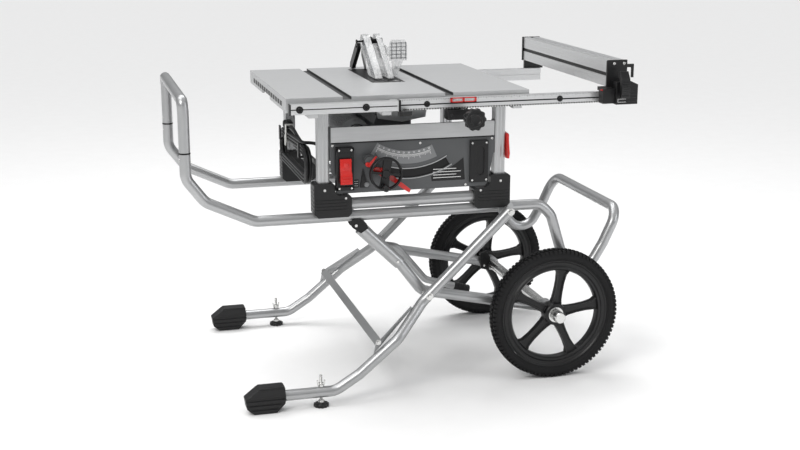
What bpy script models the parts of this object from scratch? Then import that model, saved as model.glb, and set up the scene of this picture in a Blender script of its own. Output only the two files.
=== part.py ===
"""Portable table saw on a rolling gravity stand, one named solid per real part.

The working frame has x = 0 on the table's left edge, y = 0 on the middle plane and z = 0 on the
floor. Every object is then placed by SHIFT so that the origin is under the middle of the whole.
"""
import math

import bmesh
import bpy
from mathutils import Vector

# ---------------------------------------------------------------- driving dimensions (metres)
SHIFT = Vector((-0.3831, 0.0230, 0.0))
GAP = 0.0003

TABLE_L = 0.717
TABLE_Y = 0.326
TABLE_Z = 0.8925
TABLE_T = 0.011
SKIRT_Z = 0.8525
SLOTS = ((0.162, 0.187), (0.462, 0.486))
SLOT_DEPTH = 0.0085
THROAT = ((0.311, 0.414), (-0.072, 0.269))

BLADE_R = 0.127
BLADE_X = (0.3649, 0.3671)
ARBOR_Y = 0.098
ARBOR_Z = 0.7625
TILT_X = 0.366

RAIL_Z = (0.849, 0.881)
RAIL_Y = (-0.345, -0.330)
REAR_RAIL_Z = (0.827, 0.867)
REAR_RAIL_Y = (0.330, 0.345)
PINION = (0.514, 0.831)

FENCE_X = (0.952, 1.006)
FENCE_Z = (0.895, 0.972)

LEG_XC = {"left": 0.114, "right": 0.647}
LEG_HALF = 0.017
SIDE_Y = 0.263
FOOT_Z = (0.536, 0.637)
BASE_Z = 0.570
BASE_R = 0.017

PANEL_Y = (-0.282, -0.279)
WHEEL_AXIS = (0.282, 0.669)
GUARD_PIN = (0.166, 0.993)
PAWL_PIN = (0.205, 0.972)

TUBE_R = 0.016
FRAME_Z = 0.533
PIVOT_P = (0.418, 0.288)
PIVOT_Q = (0.668, 0.530)
PIVOT_O = (0.207, 0.507)
OUTER_Y = 0.317
FOOT_Y = 0.385
HUB = (0.814, 0.203)
WHEEL_Y = 0.3255
TYRE_R = 0.203
TYRE_HALF = 0.024
PEDAL_AXIS = (0.346, 0.379)

CORD_R = 0.005
CORD_PITCH = 0.0101
HANK_X = 0.078
HANK_Y = 0.170
HANK_Z = 0.672
HANK_INNER = 0.0255

SIDES = (("front", -1), ("rear", 1))

# ---------------------------------------------------------------- collections and materials
for old in list(bpy.data.objects):
    bpy.data.objects.remove(old, do_unlink=True)

PARTS = bpy.data.collections.new("rolling_table_saw")
CUTTERS = bpy.data.collections.new("cutters")
for group in (PARTS, CUTTERS):
    bpy.context.scene.collection.children.link(group)


def material(name, rgb, metallic, roughness, alpha=1.0):
    made = bpy.data.materials.new(name)
    made.use_nodes = True
    shader = made.node_tree.nodes["Principled BSDF"]
    shader.inputs["Base Color"].default_value = (*rgb, 1.0)
    shader.inputs["Metallic"].default_value = metallic
    shader.inputs["Roughness"].default_value = roughness
    shader.inputs["Alpha"].default_value = alpha
    made.diffuse_color = (*rgb, alpha)
    return made


CAST = material("cast_aluminium", (0.55, 0.56, 0.57), 0.8, 0.4)
EXTRUDED = material("extruded_aluminium", (0.72, 0.73, 0.74), 0.9, 0.3)
SILVER = material("silver_powder_coat", (0.62, 0.63, 0.64), 0.6, 0.4)
STEEL = material("steel", (0.45, 0.46, 0.47), 1.0, 0.3)
BLACK = material("black_plastic", (0.02, 0.02, 0.022), 0.0, 0.5)
RUBBER = material("black_rubber", (0.015, 0.015, 0.015), 0.0, 0.85)
GREY = material("grey_panel_paint", (0.30, 0.31, 0.32), 0.3, 0.5)
RED = material("red_plastic", (0.75, 0.04, 0.02), 0.0, 0.4)
CLEAR = material("clear_polycarbonate", (0.9, 0.92, 0.94), 0.0, 0.1, 0.35)


# ---------------------------------------------------------------- helpers
def keep(name, mesh, mat, collection=PARTS):
    made = bpy.data.objects.new(name, mesh)
    collection.objects.link(made)
    if mat is not None:
        mesh.materials.append(mat)
    if collection is CUTTERS:
        made.hide_render = True
        made.display_type = "WIRE"
    return made


def place(axis, u, v, w):
    """A point from two coordinates across an axis and one along it."""
    if axis == "X":
        return (w, u, v)
    if axis == "Y":
        return (u, w, v)
    return (u, v, w)


def closed_mesh(name, rings, cyclic):
    """A closed mesh from rings of points: capped at both ends, or joined end to end."""
    bm = bmesh.new()
    loops = [[bm.verts.new(p) for p in ring] for ring in rings]
    count = len(loops[0])
    pairs = list(zip(loops, loops[1:]))
    if cyclic:
        pairs.append((loops[-1], loops[0]))
    for a, b in pairs:
        for i in range(count):
            j = (i + 1) % count
            bm.faces.new((a[i], a[j], b[j], b[i]))
    if not cyclic:
        bm.faces.new(loops[0])
        bm.faces.new(loops[-1])
    bmesh.ops.recalc_face_normals(bm, faces=bm.faces)
    mesh = bpy.data.meshes.new(name)
    bm.to_mesh(mesh)
    bm.free()
    return mesh


def prism(name, outline, axis, start, end, mat, collection=PARTS):
    """A flat outline carried straight along an axis."""
    rings = [[place(axis, u, v, w) for u, v in outline] for w in (start, end)]
    return keep(name, closed_mesh(name, rings, False), mat, collection)


def box(name, x, y, z, mat, collection=PARTS):
    outline = ((x[0], y[0]), (x[1], y[0]), (x[1], y[1]), (x[0], y[1]))
    return prism(name, outline, "Z", z[0], z[1], mat, collection)


def ring_points(centre, radius, sides, start=0.0, sweep=math.tau):
    """Points round a circle, or along part of it when the sweep is less than a turn."""
    last = sides if sweep >= math.tau else sides - 1
    points = []
    for i in range(sides):
        angle = start + sweep * i / last
        points.append((centre[0] + radius * math.cos(angle), centre[1] + radius * math.sin(angle)))
    return points


def rod(name, axis, centre, radius, start, end, mat, collection=PARTS, sides=20):
    outline = ring_points(centre, radius, sides)
    made = prism(name, outline, axis, start, end, mat, collection)
    shade(made)
    return made


def lathe(name, axis, centre, profile, mat, collection=PARTS, steps=32):
    """A closed profile of (radius, along) points turned round an axis."""
    rings = []
    for i in range(steps):
        angle = math.tau * i / steps
        c, s = math.cos(angle), math.sin(angle)
        rings.append([place(axis, centre[0] + r * c, centre[1] + r * s, w) for r, w in profile])
    made = keep(name, closed_mesh(name, rings, True), mat, collection)
    shade(made)
    return made


def shade(made):
    for face in made.data.polygons:
        face.use_smooth = len(face.vertices) < 5


def rounded(points, radius, steps=6):
    """A path of straight runs with its inner corners turned into arcs."""
    corners = [Vector(p) for p in points]
    path = [corners[0]]
    for before, corner, after in zip(corners, corners[1:], corners[2:]):
        a = (before - corner).normalized()
        b = (after - corner).normalized()
        half = a.angle(b) / 2
        reach = min(radius / math.tan(half), 0.49 * (before - corner).length, 0.49 * (after - corner).length)
        turn = reach * math.tan(half)
        middle = corner + (a + b).normalized() * (turn / math.sin(half))
        first = corner + a * reach - middle
        last = corner + b * reach - middle
        whole = first.angle(last)
        for i in range(steps + 1):
            share = i / steps
            part = (math.sin((1 - share) * whole) * first + math.sin(share * whole) * last) / math.sin(whole)
            path.append(middle + part)
    path.append(corners[-1])
    return path


def tube(name, path, radius, mat, collection=PARTS, resolution=2):
    """A solid round bar that follows a path, as a mesh."""
    curve = bpy.data.curves.new(name, "CURVE")
    curve.dimensions = "3D"
    curve.bevel_depth = radius
    curve.bevel_resolution = resolution
    curve.resolution_u = 1
    curve.use_fill_caps = True
    spline = curve.splines.new("POLY")
    spline.points.add(len(path) - 1)
    for point, where in zip(spline.points, path):
        point.co = (*where, 1.0)
    holder = bpy.data.objects.new(name + "_path", curve)
    bpy.context.scene.collection.objects.link(holder)
    graph = bpy.context.evaluated_depsgraph_get()
    mesh = bpy.data.meshes.new_from_object(holder.evaluated_get(graph))
    bpy.data.objects.remove(holder, do_unlink=True)
    bpy.data.curves.remove(curve)
    bm = bmesh.new()
    bm.from_mesh(mesh)
    bmesh.ops.remove_doubles(bm, verts=bm.verts, dist=0.00001)
    bmesh.ops.recalc_face_normals(bm, faces=bm.faces)
    bm.to_mesh(mesh)
    bm.free()
    mesh.name = name
    made = keep(name, mesh, mat, collection)
    shade(made)
    return made


def combine(target, operation, *others):
    for other in others:
        step = target.modifiers.new(other.name, "BOOLEAN")
        step.operation = operation
        step.solver = "EXACT"
        step.object = other


def cut(target, *others):
    combine(target, "DIFFERENCE", *others)


def weld(target, *others):
    combine(target, "UNION", *others)


def hinge_origin(made, point):
    """Puts an object's origin on its joint axis without moving its shape."""
    offset = Vector(point)
    for vertex in made.data.vertices:
        vertex.co -= offset
    made.location = offset


# ---------------------------------------------------------------- table, rails and throat
def build_table():
    top = box("table_top", (0, TABLE_L), (-TABLE_Y, TABLE_Y), (SKIRT_Z, TABLE_Z), CAST)
    under = TABLE_Z - TABLE_T
    well = box("table_well", (0.008, TABLE_L - 0.008), (0.008 - TABLE_Y, TABLE_Y - 0.008),
               (SKIRT_Z - 0.02, under), None, CUTTERS)
    cut(top, well)
    for number, slot in enumerate(SLOTS):
        groove = box(f"mitre_slot_{number}", slot, (-TABLE_Y - 0.01, TABLE_Y + 0.01),
                     (TABLE_Z - SLOT_DEPTH, TABLE_Z + 0.01), None, CUTTERS)
        cut(top, groove)
    (x0, x1), (y0, y1) = THROAT
    seat = box("throat_seat", (x0, x1), (y0, y1), (TABLE_Z - 0.0042, TABLE_Z + 0.01), None, CUTTERS)
    hole = box("throat_hole", (x0 + 0.006, x1 - 0.006), (y0 + 0.006, y1 - 0.006),
               (under - 0.01, TABLE_Z), None, CUTTERS)
    notch = box("side_notch", (-0.01, 0.02), (-0.055, 0.085), (SKIRT_Z - 0.01, 0.866), None, CUTTERS)
    cut(top, seat, hole, notch)
    brackets = []
    profile = ((-0.371, SKIRT_Z), (-0.371, 0.842), (-0.314, 0.842), (-0.314, SKIRT_Z + 0.004),
               (-0.3255, SKIRT_Z + 0.004), (-0.3255, RAIL_Z[0] - GAP), (-0.352, RAIL_Z[0] - GAP),
               (-0.352, SKIRT_Z))
    for number, x in enumerate((0.055, 0.265)):
        brackets.append(prism(f"rail_bracket_{number}", profile, "X", x, x + 0.026, None, CUTTERS))
    short = ((-0.346, RAIL_Z[0] - GAP), (-0.346, 0.842), (-0.314, 0.842), (-0.314, SKIRT_Z + 0.004),
             (-0.3255, SKIRT_Z + 0.004), (-0.3255, RAIL_Z[0] - GAP))
    brackets.append(prism("rail_bracket_right", short, "X", 0.662, 0.688, None, CUTTERS))
    back = ((0.346, REAR_RAIL_Z[0] - GAP), (0.346, 0.820), (0.314, 0.820), (0.314, SKIRT_Z + 0.004),
            (0.3255, SKIRT_Z + 0.004), (0.3255, REAR_RAIL_Z[0] - GAP))
    for number, x in enumerate((0.31, 0.662)):
        brackets.append(prism(f"rear_bracket_{number}", back, "X", x, x + 0.026, None, CUTTERS))
    for number, y in enumerate(((-0.186, -0.1735), (0.2835, 0.296))):
        hanger = ((0.286, under + 0.003), (0.300, 0.802), (0.372, 0.790), (0.444, 0.802),
                  (0.458, under + 0.003))
        brackets.append(prism(f"trunnion_hanger_{number}", hanger, "Y", y[0], y[1], None, CUTTERS))
    weld(top, *brackets)
    bearing = pinion_bearing()
    weld(top, bearing)
    cut(top, rod("bearing_hole", "Y", PINION, 0.0066, -0.37, -0.31, None, CUTTERS, 20))
    return top


def pinion_bearing():
    """Two arms that hold the pinion shaft either side of the rack, with a web to their left."""
    outline = ((0.462, -0.356), (0.530, -0.356), (0.530, -0.350), (0.480, -0.350), (0.480, -0.325),
               (0.530, -0.325), (0.530, -0.3185), (0.462, -0.3185))
    made = prism("pinion_bearing", outline, "Z", 0.818, 0.846, None, CUTTERS)
    stem = box("pinion_stem", (0.462, 0.500), (-0.3253, -0.3187), (0.840, SKIRT_Z + 0.004), None, CUTTERS)
    weld(made, stem)
    return made


def build_throat():
    (x0, x1), (y0, y1) = THROAT
    plate = box("throat_insert", (x0 + GAP, x1 - GAP), (y0 + GAP, y1 - GAP),
                (TABLE_Z - 0.0039, TABLE_Z), BLACK)
    cut(plate, box("blade_slot", (0.3625, 0.3735), (-0.045, 0.2655), (0.88, 0.90), None, CUTTERS))


def build_rails():
    fixed = box("front_rail_fixed", (0.003, 0.310), (-0.372, -0.350), (SKIRT_Z + GAP, 0.881), EXTRUDED)
    line = box("fixed_rail_groove", (-0.01, 0.33), (-0.38, -0.370), (0.8655, 0.8685), None, CUTTERS)
    cut(fixed, line)
    weld(fixed, box("fixed_rail_cap", (0.3095, 0.318), (-0.3735, -0.3497), (0.8515, 0.8825), None, CUTTERS))
    slide = box("front_rail_slide", (0.295, 1.006), RAIL_Y, RAIL_Z, EXTRUDED)
    cut(slide, box("slide_rail_groove", (0.28, 1.02), (-0.35, -0.3432), (0.862, 0.866), None, CUTTERS))
    rear = box("rear_rail_slide", (0.295, 1.008), REAR_RAIL_Y, REAR_RAIL_Z, EXTRUDED)
    cut(rear, box("rear_rail_groove", (0.28, 1.02), (0.32, 0.3325), (0.845, 0.851), None, CUTTERS))


def build_rail_drive():
    shaft = rod("pinion_shaft", "Y", PINION, 0.0062, -0.4247, 0.3120, STEEL)
    gear = []
    for i in range(28):
        radius = 0.0172 if i % 2 else 0.0142
        angle = math.tau * (i + 0.5) / 28
        gear.append((PINION[0] + radius * math.cos(angle), PINION[1] + radius * math.sin(angle)))
    weld(shaft, prism("pinion_teeth", gear, "Y", -0.3447, -0.3303, None, CUTTERS))
    hinge_origin(shaft, (PINION[0], 0, PINION[1]))
    profile = ((0.0, -0.455), (0.018, -0.455), (0.018, -0.4515), (0.029, -0.4515), (0.0325, -0.448),
               (0.0325, -0.4335), (0.029, -0.430), (0.012, -0.430), (0.012, -0.425), (0.0, -0.425))
    knob = turned_solid("rail_knob", "Y", PINION, profile, BLACK, 24)
    hinge_origin(knob, (PINION[0], -0.44, PINION[1]))
    lever = prism("rail_lock_lever", ((0.3125, -0.378), (0.322, -0.384), (0.350, -0.376), (0.350, -0.366),
                                      (0.322, -0.357), (0.3125, -0.360)), "Z", 0.838, 0.8510, BLACK)
    hinge_origin(lever, (0.319, -0.369, 0.84))


def turned_solid(name, axis, centre, profile, mat, steps=32, collection=PARTS):
    """A solid of revolution whose profile starts and ends on its axis."""
    bm = bmesh.new()
    ends = [bm.verts.new(place(axis, *centre, profile[k][1])) for k in (0, -1)]
    loops = []
    for r, w in profile[1:-1]:
        loops.append([bm.verts.new(place(axis, u, v, w)) for u, v in ring_points(centre, r, steps)])
    for i in range(steps):
        j = (i + 1) % steps
        bm.faces.new((ends[0], loops[0][i], loops[0][j]))
        bm.faces.new((ends[1], loops[-1][i], loops[-1][j]))
        for a, b in zip(loops, loops[1:]):
            bm.faces.new((a[i], a[j], b[j], b[i]))
    bmesh.ops.recalc_face_normals(bm, faces=bm.faces)
    mesh = bpy.data.meshes.new(name)
    bm.to_mesh(mesh)
    bm.free()
    made = keep(name, mesh, mat, collection)
    shade(made)
    return made


# ---------------------------------------------------------------- rip fence
def build_fence():
    beam = box("fence_beam", FENCE_X, (-0.3457, 0.3517), FENCE_Z, EXTRUDED)
    groove = box("fence_groove", (0.94, 0.9545), (-0.36, 0.36), (0.925, 0.936), None, CUTTERS)
    deck = box("fence_deck_groove", (0.973, 0.985), (-0.36, 0.36), (0.9695, 0.98), None, CUTTERS)
    cut(beam, groove, deck)
    head = box("fence_head", (0.930, 1.030), (-0.394, -0.353), (0.8475, 0.918), BLACK)
    bridge = box("head_bridge", (0.930, 1.030), (-0.356, -0.328), (0.8835, 0.8945), None, CUTTERS)
    plate = box("head_plate", (0.948, 1.012), (-0.353, -0.346), (0.892, 0.973), None, CUTTERS)
    jaw = box("head_jaw", (0.922, 0.950), (-0.385, -0.3535), (0.850, 0.893), None, CUTTERS)
    hook = box("head_hook", (1.0115, 1.034), (-0.353, -0.346), (0.905, 0.960), None, CUTTERS)
    weld(head, bridge, plate, jaw, hook)
    outline = ((-0.3945, 0.9435), (-0.404, 0.9465), (-0.420, 0.925), (-0.423, 0.880), (-0.418, 0.868),
               (-0.4105, 0.868), (-0.4085, 0.885), (-0.405, 0.920), (-0.3945, 0.9285))
    lever = prism("fence_latch_lever", outline, "X", 0.965, 0.993, BLACK)
    hinge_origin(lever, (0.979, -0.399, 0.937))
    cap = box("fence_rear_cap", (0.948, 1.010), (0.352, 0.358), (0.8935, 0.973), BLACK)
    claw = box("rear_claw", (0.955, 1.003), (0.3475, 0.358), (0.856, 0.8945), None, CUTTERS)
    hook2 = box("rear_hook", (0.990, 1.022), (0.3475, 0.358), (0.866, 0.892), None, CUTTERS)
    weld(cap, claw, hook2)


# ---------------------------------------------------------------- body frame
def build_body_frame():
    for end, xc in LEG_XC.items():
        for side, sign in SIDES:
            build_leg(f"saw_leg_{side}_{end}", xc, sign)
            build_corner_foot(f"corner_foot_{side}_{end}", xc, sign, 1 if end == "left" else -1)
    for side, sign in SIDES:
        rod(f"base_tube_{side}", "X", (sign * SIDE_Y, BASE_Z), BASE_R, 0.1503, 0.6107, SILVER)
        weld(bpy.data.objects[f"saw_leg_{side}_left"], cord_hook(f"cord_hook_{side}", sign))


def cord_hook(name, sign):
    """A steel strip from a left leg that carries a J-shaped hook for the wound cord."""
    top = HANK_Z + HANK_INNER - 0.0006
    near, far = sorted((sign * 0.150, sign * 0.250))
    made = box(name, (0.100, 0.105), (near, far), (top - 0.0157, top), None, CUTTERS)
    near, far = sorted((sign * 0.150, sign * 0.166))
    outline = ((0.102, top), (0.102, top - 0.0057), (0.062, top - 0.0057), (0.062, top + 0.040),
               (0.067, top + 0.040), (0.067, top))
    weld(made, prism(name + "_strip", outline, "Y", near, far, None, CUTTERS))
    return made


def build_leg(name, xc, sign):
    h = LEG_HALF
    c = 0.004
    y = sign * SIDE_Y
    outline = ((xc - h, y - h + c), (xc - h + c, y - h), (xc + h - c, y - h), (xc + h, y - h + c),
               (xc + h, y + h - c), (xc + h - c, y + h), (xc - h + c, y + h), (xc - h, y + h - c))
    return prism(name, outline, "Z", 0.5563, TABLE_Z - TABLE_T - GAP, EXTRUDED)


def build_corner_foot(name, xc, sign, inward):
    """An L-shaped moulding: a socket for the leg, a socket for the base tube, a saddle below."""
    z0, z1 = FOOT_Z
    y = sign * SIDE_Y
    out = xc - inward * 0.031
    step = xc + inward * 0.031
    end = xc + inward * 0.080
    outline = ((out, z0 + 0.012), (out + inward * 0.012, z0), (end - inward * 0.010, z0), (end, z0 + 0.010),
               (end, 0.594), (end - inward * 0.006, 0.600), (step + inward * 0.010, 0.600), (step, 0.612),
               (step, z1 - 0.006), (step - inward * 0.006, z1), (out + inward * 0.006, z1), (out, z1 - 0.006))
    foot = prism(name, outline, "Y", y - 0.027, y + 0.027, BLACK)
    h = LEG_HALF + GAP
    socket = box(name + "_socket", (xc - h, xc + h), (y - h, y + h), (0.556, z1 + 0.01), None, CUTTERS)
    bore = rod(name + "_bore", "X", (y, BASE_Z), BASE_R + GAP, xc + inward * 0.036, end + inward * 0.02,
               None, CUTTERS)
    saddle = rod(name + "_saddle", "X", (y, FRAME_Z), TUBE_R + GAP, xc - 0.12, xc + 0.12, None, CUTTERS)
    cut(foot, socket, bore, saddle)
    return foot


# ---------------------------------------------------------------- front panel and its controls
def about_tilt(angle_deg, radius):
    """A point that hangs from the bevel axis, by its angle from straight down."""
    angle = math.radians(angle_deg)
    return (TILT_X + radius * math.sin(angle), TABLE_Z - radius * math.cos(angle))


def arc_slot(name, radius, half, first, last, y, collection=CUTTERS):
    outline = [about_tilt(first + (last - first) * i / 14, radius - half) for i in range(15)]
    outline += [about_tilt(last - (last - first) * i / 14, radius + half) for i in range(15)]
    return prism(name, outline, "Y", y[0], y[1], None, collection)


def build_front_panel():
    outline = ((0.1345, 0.799), (0.6265, 0.799), (0.6265, 0.700), (0.608, 0.612), (0.600, 0.6045),
               (0.1540, 0.6045), (0.1465, 0.613), (0.1465, 0.655), (0.1345, 0.668))
    panel = prism("front_panel", outline, "Y", PANEL_Y[0], PANEL_Y[1], GREY)
    radius = math.hypot(WHEEL_AXIS[0] - TILT_X, WHEEL_AXIS[1] - TABLE_Z)
    rest = math.degrees(math.atan2(WHEEL_AXIS[0] - TILT_X, TABLE_Z - WHEEL_AXIS[1]))
    cut(panel, arc_slot("bevel_slot", radius, 0.0125, rest - 3.5, rest + 50.5, (-0.30, -0.26)))
    band = box("panel_band", (0.1345, 0.6265), (-0.2848, -0.2815), (0.7545, 0.799), None, CUTTERS)
    flanges = []
    for number, x in enumerate(((0.1313, 0.1350), (0.6260, 0.6297))):
        flanges.append(box(f"panel_flange_{number}", x, (-0.282, -0.258), (0.702, 0.799), None, CUTTERS))
    weld(panel, band, *flanges)
    outline = ((0.146, 0.620), (0.149, 0.617), (0.195, 0.617), (0.198, 0.620), (0.198, 0.739), (0.195, 0.742),
               (0.149, 0.742), (0.146, 0.739))
    prism("switch_box", outline, "Y", -0.304, PANEL_Y[0] - GAP, BLACK)
    outline = ((-0.3043, 0.711), (-0.3043, 0.640), (-0.311, 0.636), (-0.322, 0.638), (-0.319, 0.668),
               (-0.311, 0.676), (-0.311, 0.706), (-0.3085, 0.711))
    paddle = prism("switch_paddle", outline, "X", 0.155, 0.190, RED)
    hinge_origin(paddle, (0.1725, -0.3043, 0.711))
    cover = box("storage_cover", (0.552, 0.6075), (-0.290, PANEL_Y[0] - GAP), (0.617, 0.742), BLACK)
    recess = prism("cover_recess", oval(0.583, 0.682, 0.013, 0.045), "Y", -0.30, -0.286, None, CUTTERS)
    cut(cover, recess)


def oval(x, z, half_x, half_z):
    """An upright slot outline with round ends."""
    top = ring_points((x, z + half_z - half_x), half_x, 9, 0.0, math.pi)
    bottom = ring_points((x, z - half_z + half_x), half_x, 9, math.pi, math.pi)
    return top + bottom


def build_handwheel():
    axis = WHEEL_AXIS
    profile = ((0.0, -0.352), (0.014, -0.352), (0.016, -0.346), (0.036, -0.346), (0.039, -0.352),
               (0.046, -0.352), (0.049, -0.348), (0.049, -0.338), (0.046, -0.334), (0.0063, -0.334),
               (0.0063, -0.1595), (0.0, -0.1595))
    wheel = turned_solid("elevation_handwheel", "Y", axis, profile, BLACK, 28)
    hinge_origin(wheel, (axis[0], -0.343, axis[1]))
    centre = (axis[0] - 0.009, axis[1] - 0.035)
    profile = ((0.0, -0.386), (0.0085, -0.386), (0.0105, -0.381), (0.009, -0.366), (0.0075, -0.3523),
               (0.0, -0.3523))
    crank = turned_solid("crank_knob", "Y", centre, profile, BLACK, 20)
    hinge_origin(crank, (centre[0], -0.37, centre[1]))
    arm = Vector((0.080, -0.063)).normalized()
    side = Vector((-arm.y, arm.x))
    tip = Vector(axis) + arm * 0.101
    outline = [Vector(axis) + side * 0.012, tip - arm * 0.03 + side * 0.008, tip + side * 0.0095,
               tip + arm * 0.004, tip - side * 0.0095, tip - arm * 0.03 - side * 0.008,
               Vector(axis) - side * 0.012]
    lever = prism("bevel_lock_lever", [tuple(p) for p in outline], "Y", -0.3305, -0.3225, RED)
    weld(lever, rod("lever_hub", "Y", axis, 0.0165, -0.3325, -0.3205, None, CUTTERS))
    cut(lever, rod("lever_bore", "Y", axis, 0.0067, -0.35, -0.30, None, CUTTERS))
    hinge_origin(lever, (axis[0], -0.3265, axis[1]))


# ---------------------------------------------------------------- tilting cradle, motor and blade
def build_cradle():
    outline = ((0.322, 0.860), (0.376, 0.860), (0.403, 0.800), (0.403, 0.716), (0.431, 0.692), (0.431, 0.672),
               (0.400, 0.645), (0.262, 0.645), (0.250, 0.660), (0.250, 0.700))
    cradle = prism("bevel_cradle", outline, "Y", -0.1725, -0.165, STEEL)
    rear = prism("cradle_rear_plate", outline, "Y", 0.275, 0.2825, None, CUTTERS)
    rods = [rod("cradle_rod_left", "Y", (0.272, 0.656), 0.0075, -0.168, 0.278, None, CUTTERS, 16),
            rod("cradle_rod_right", "Y", (0.418, 0.700), 0.0075, -0.168, 0.278, None, CUTTERS, 16)]
    bush = rod("shaft_bush", "Y", WHEEL_AXIS, 0.0108, -0.312, -0.1655, None, CUTTERS)
    weld(cradle, rear, *rods)
    weld(cradle, bush)
    tip = about_tilt(-31.5, 0.2065)
    boss = (0.242, 0.701)
    pointer = ((WHEEL_AXIS[0] + 0.014, WHEEL_AXIS[1] + 0.010), (0.262, 0.722), tip, (0.2465, 0.720),
               (0.226, 0.714), (0.228, 0.690), (WHEEL_AXIS[0] - 0.016, WHEEL_AXIS[1] - 0.008),
               (WHEEL_AXIS[0] - 0.004, WHEEL_AXIS[1] - 0.016), (WHEEL_AXIS[0] + 0.012, WHEEL_AXIS[1] - 0.012))
    weld(cradle, prism("bevel_pointer", pointer, "Y", -0.300, -0.2965, None, CUTTERS))
    weld(cradle, rod("bevel_boss", "Y", boss, 0.017, -0.316, -0.2985, None, CUTTERS))
    cut(cradle, rod("shaft_bore", "Y", WHEEL_AXIS, 0.0066, -0.33, -0.1593, None, CUTTERS),
        rod("dust_hole", "Y", (TILT_X, 0.680), 0.0345, 0.26, 0.30, None, CUTTERS))
    seat = box("knife_seat", (0.350, BLADE_X[0] - GAP), (0.240, 0.2753), (0.796, 0.832), None, CUTTERS)
    weld(cradle, seat)
    hinge_origin(cradle, (TILT_X, 0.0, TABLE_Z))


def build_knife():
    outline = ((0.240, 0.792), (0.262, 0.792), (0.262, 0.896), (0.300, 0.934), (0.298, 0.962), (0.250, 0.990),
               (0.185, 1.006), (0.156, 1.006), (0.150, 0.998), (0.152, 0.984), (0.190, 0.980), (0.236, 0.952),
               (0.243, 0.920), (0.240, 0.880))
    knife = prism("riving_knife", outline, "X", BLADE_X[0], BLADE_X[1], BLACK)
    cut(knife, rod("knife_pin_hole", "X", GUARD_PIN, 0.0033, 0.35, 0.38, None, CUTTERS, 16))


def build_shroud():
    pan = box("blade_shroud", (0.338, 0.396), (-0.037, 0.2335), (0.628, 0.800), BLACK)
    hollow = box("shroud_hollow", (0.32, 0.393), (-0.033, 0.2295), (0.632, 0.82), None, CUTTERS)
    cut(pan, hollow)
    spout = rod("dust_spout", "Y", (TILT_X, 0.680), 0.032, 0.2325, 0.330, None, CUTTERS)
    bore = rod("dust_bore", "Y", (TILT_X, 0.680), 0.029, 0.22, 0.34, None, CUTTERS)
    weld(pan, spout)
    cut(pan, bore)


def build_motor():
    axis = (0.243, 0.752)
    profile = ((0.0, -0.146), (0.030, -0.146), (0.036, -0.142), (0.0425, -0.128), (0.0425, 0.085),
               (0.038, 0.120), (0.030, 0.140), (0.0, 0.140))
    motor = turned_solid("motor_unit", "Y", axis, profile, CAST, 28)
    case = box("worm_case", (0.276, 0.336), (0.055, 0.140), (0.722, 0.800), None, CUTTERS)
    barrel = rod("arbor_barrel", "X", (ARBOR_Y, ARBOR_Z), 0.026, 0.330, 0.3555, None, CUTTERS)
    arm = box("lift_arm", (0.292, 0.334), (-0.1645 + GAP, 0.060), (0.744, 0.784), None, CUTTERS)
    weld(motor, case, barrel, arm)


def build_blade():
    centre = (ARBOR_Y, ARBOR_Z)
    profile = ((0.0, 0.3558), (0.012, 0.3558), (0.012, 0.3575), (0.0215, 0.3575), (0.0215, BLADE_X[0] - GAP),
               (0.0077, BLADE_X[0] - GAP), (0.0077, BLADE_X[1] + GAP), (0.0215, BLADE_X[1] + GAP),
               (0.0215, 0.3715), (0.0125, 0.3720), (0.0125, 0.3815), (0.0075, 0.3815), (0.0075, 0.388),
               (0.0, 0.388))
    arbor = turned_solid("blade_arbor", "X", centre, profile, STEEL, 16)
    hinge_origin(arbor, (0.366, *centre))
    outline = []
    teeth = 24
    tooth = ((0.0, BLADE_R), (0.16, BLADE_R - 0.001), (0.34, BLADE_R - 0.008), (0.86, BLADE_R - 0.011))
    for i in range(teeth):
        base = math.tau * i / teeth
        for part, radius in tooth:
            angle = base + part * math.tau / teeth
            outline.append((centre[0] + radius * math.cos(angle), centre[1] + radius * math.sin(angle)))
    blade = prism("saw_blade", outline, "X", BLADE_X[0], BLADE_X[1], STEEL)
    cut(blade, rod("blade_bore", "X", centre, 0.0080, 0.35, 0.38, None, CUTTERS, 20))
    hinge_origin(blade, (0.366, *centre))


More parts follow.
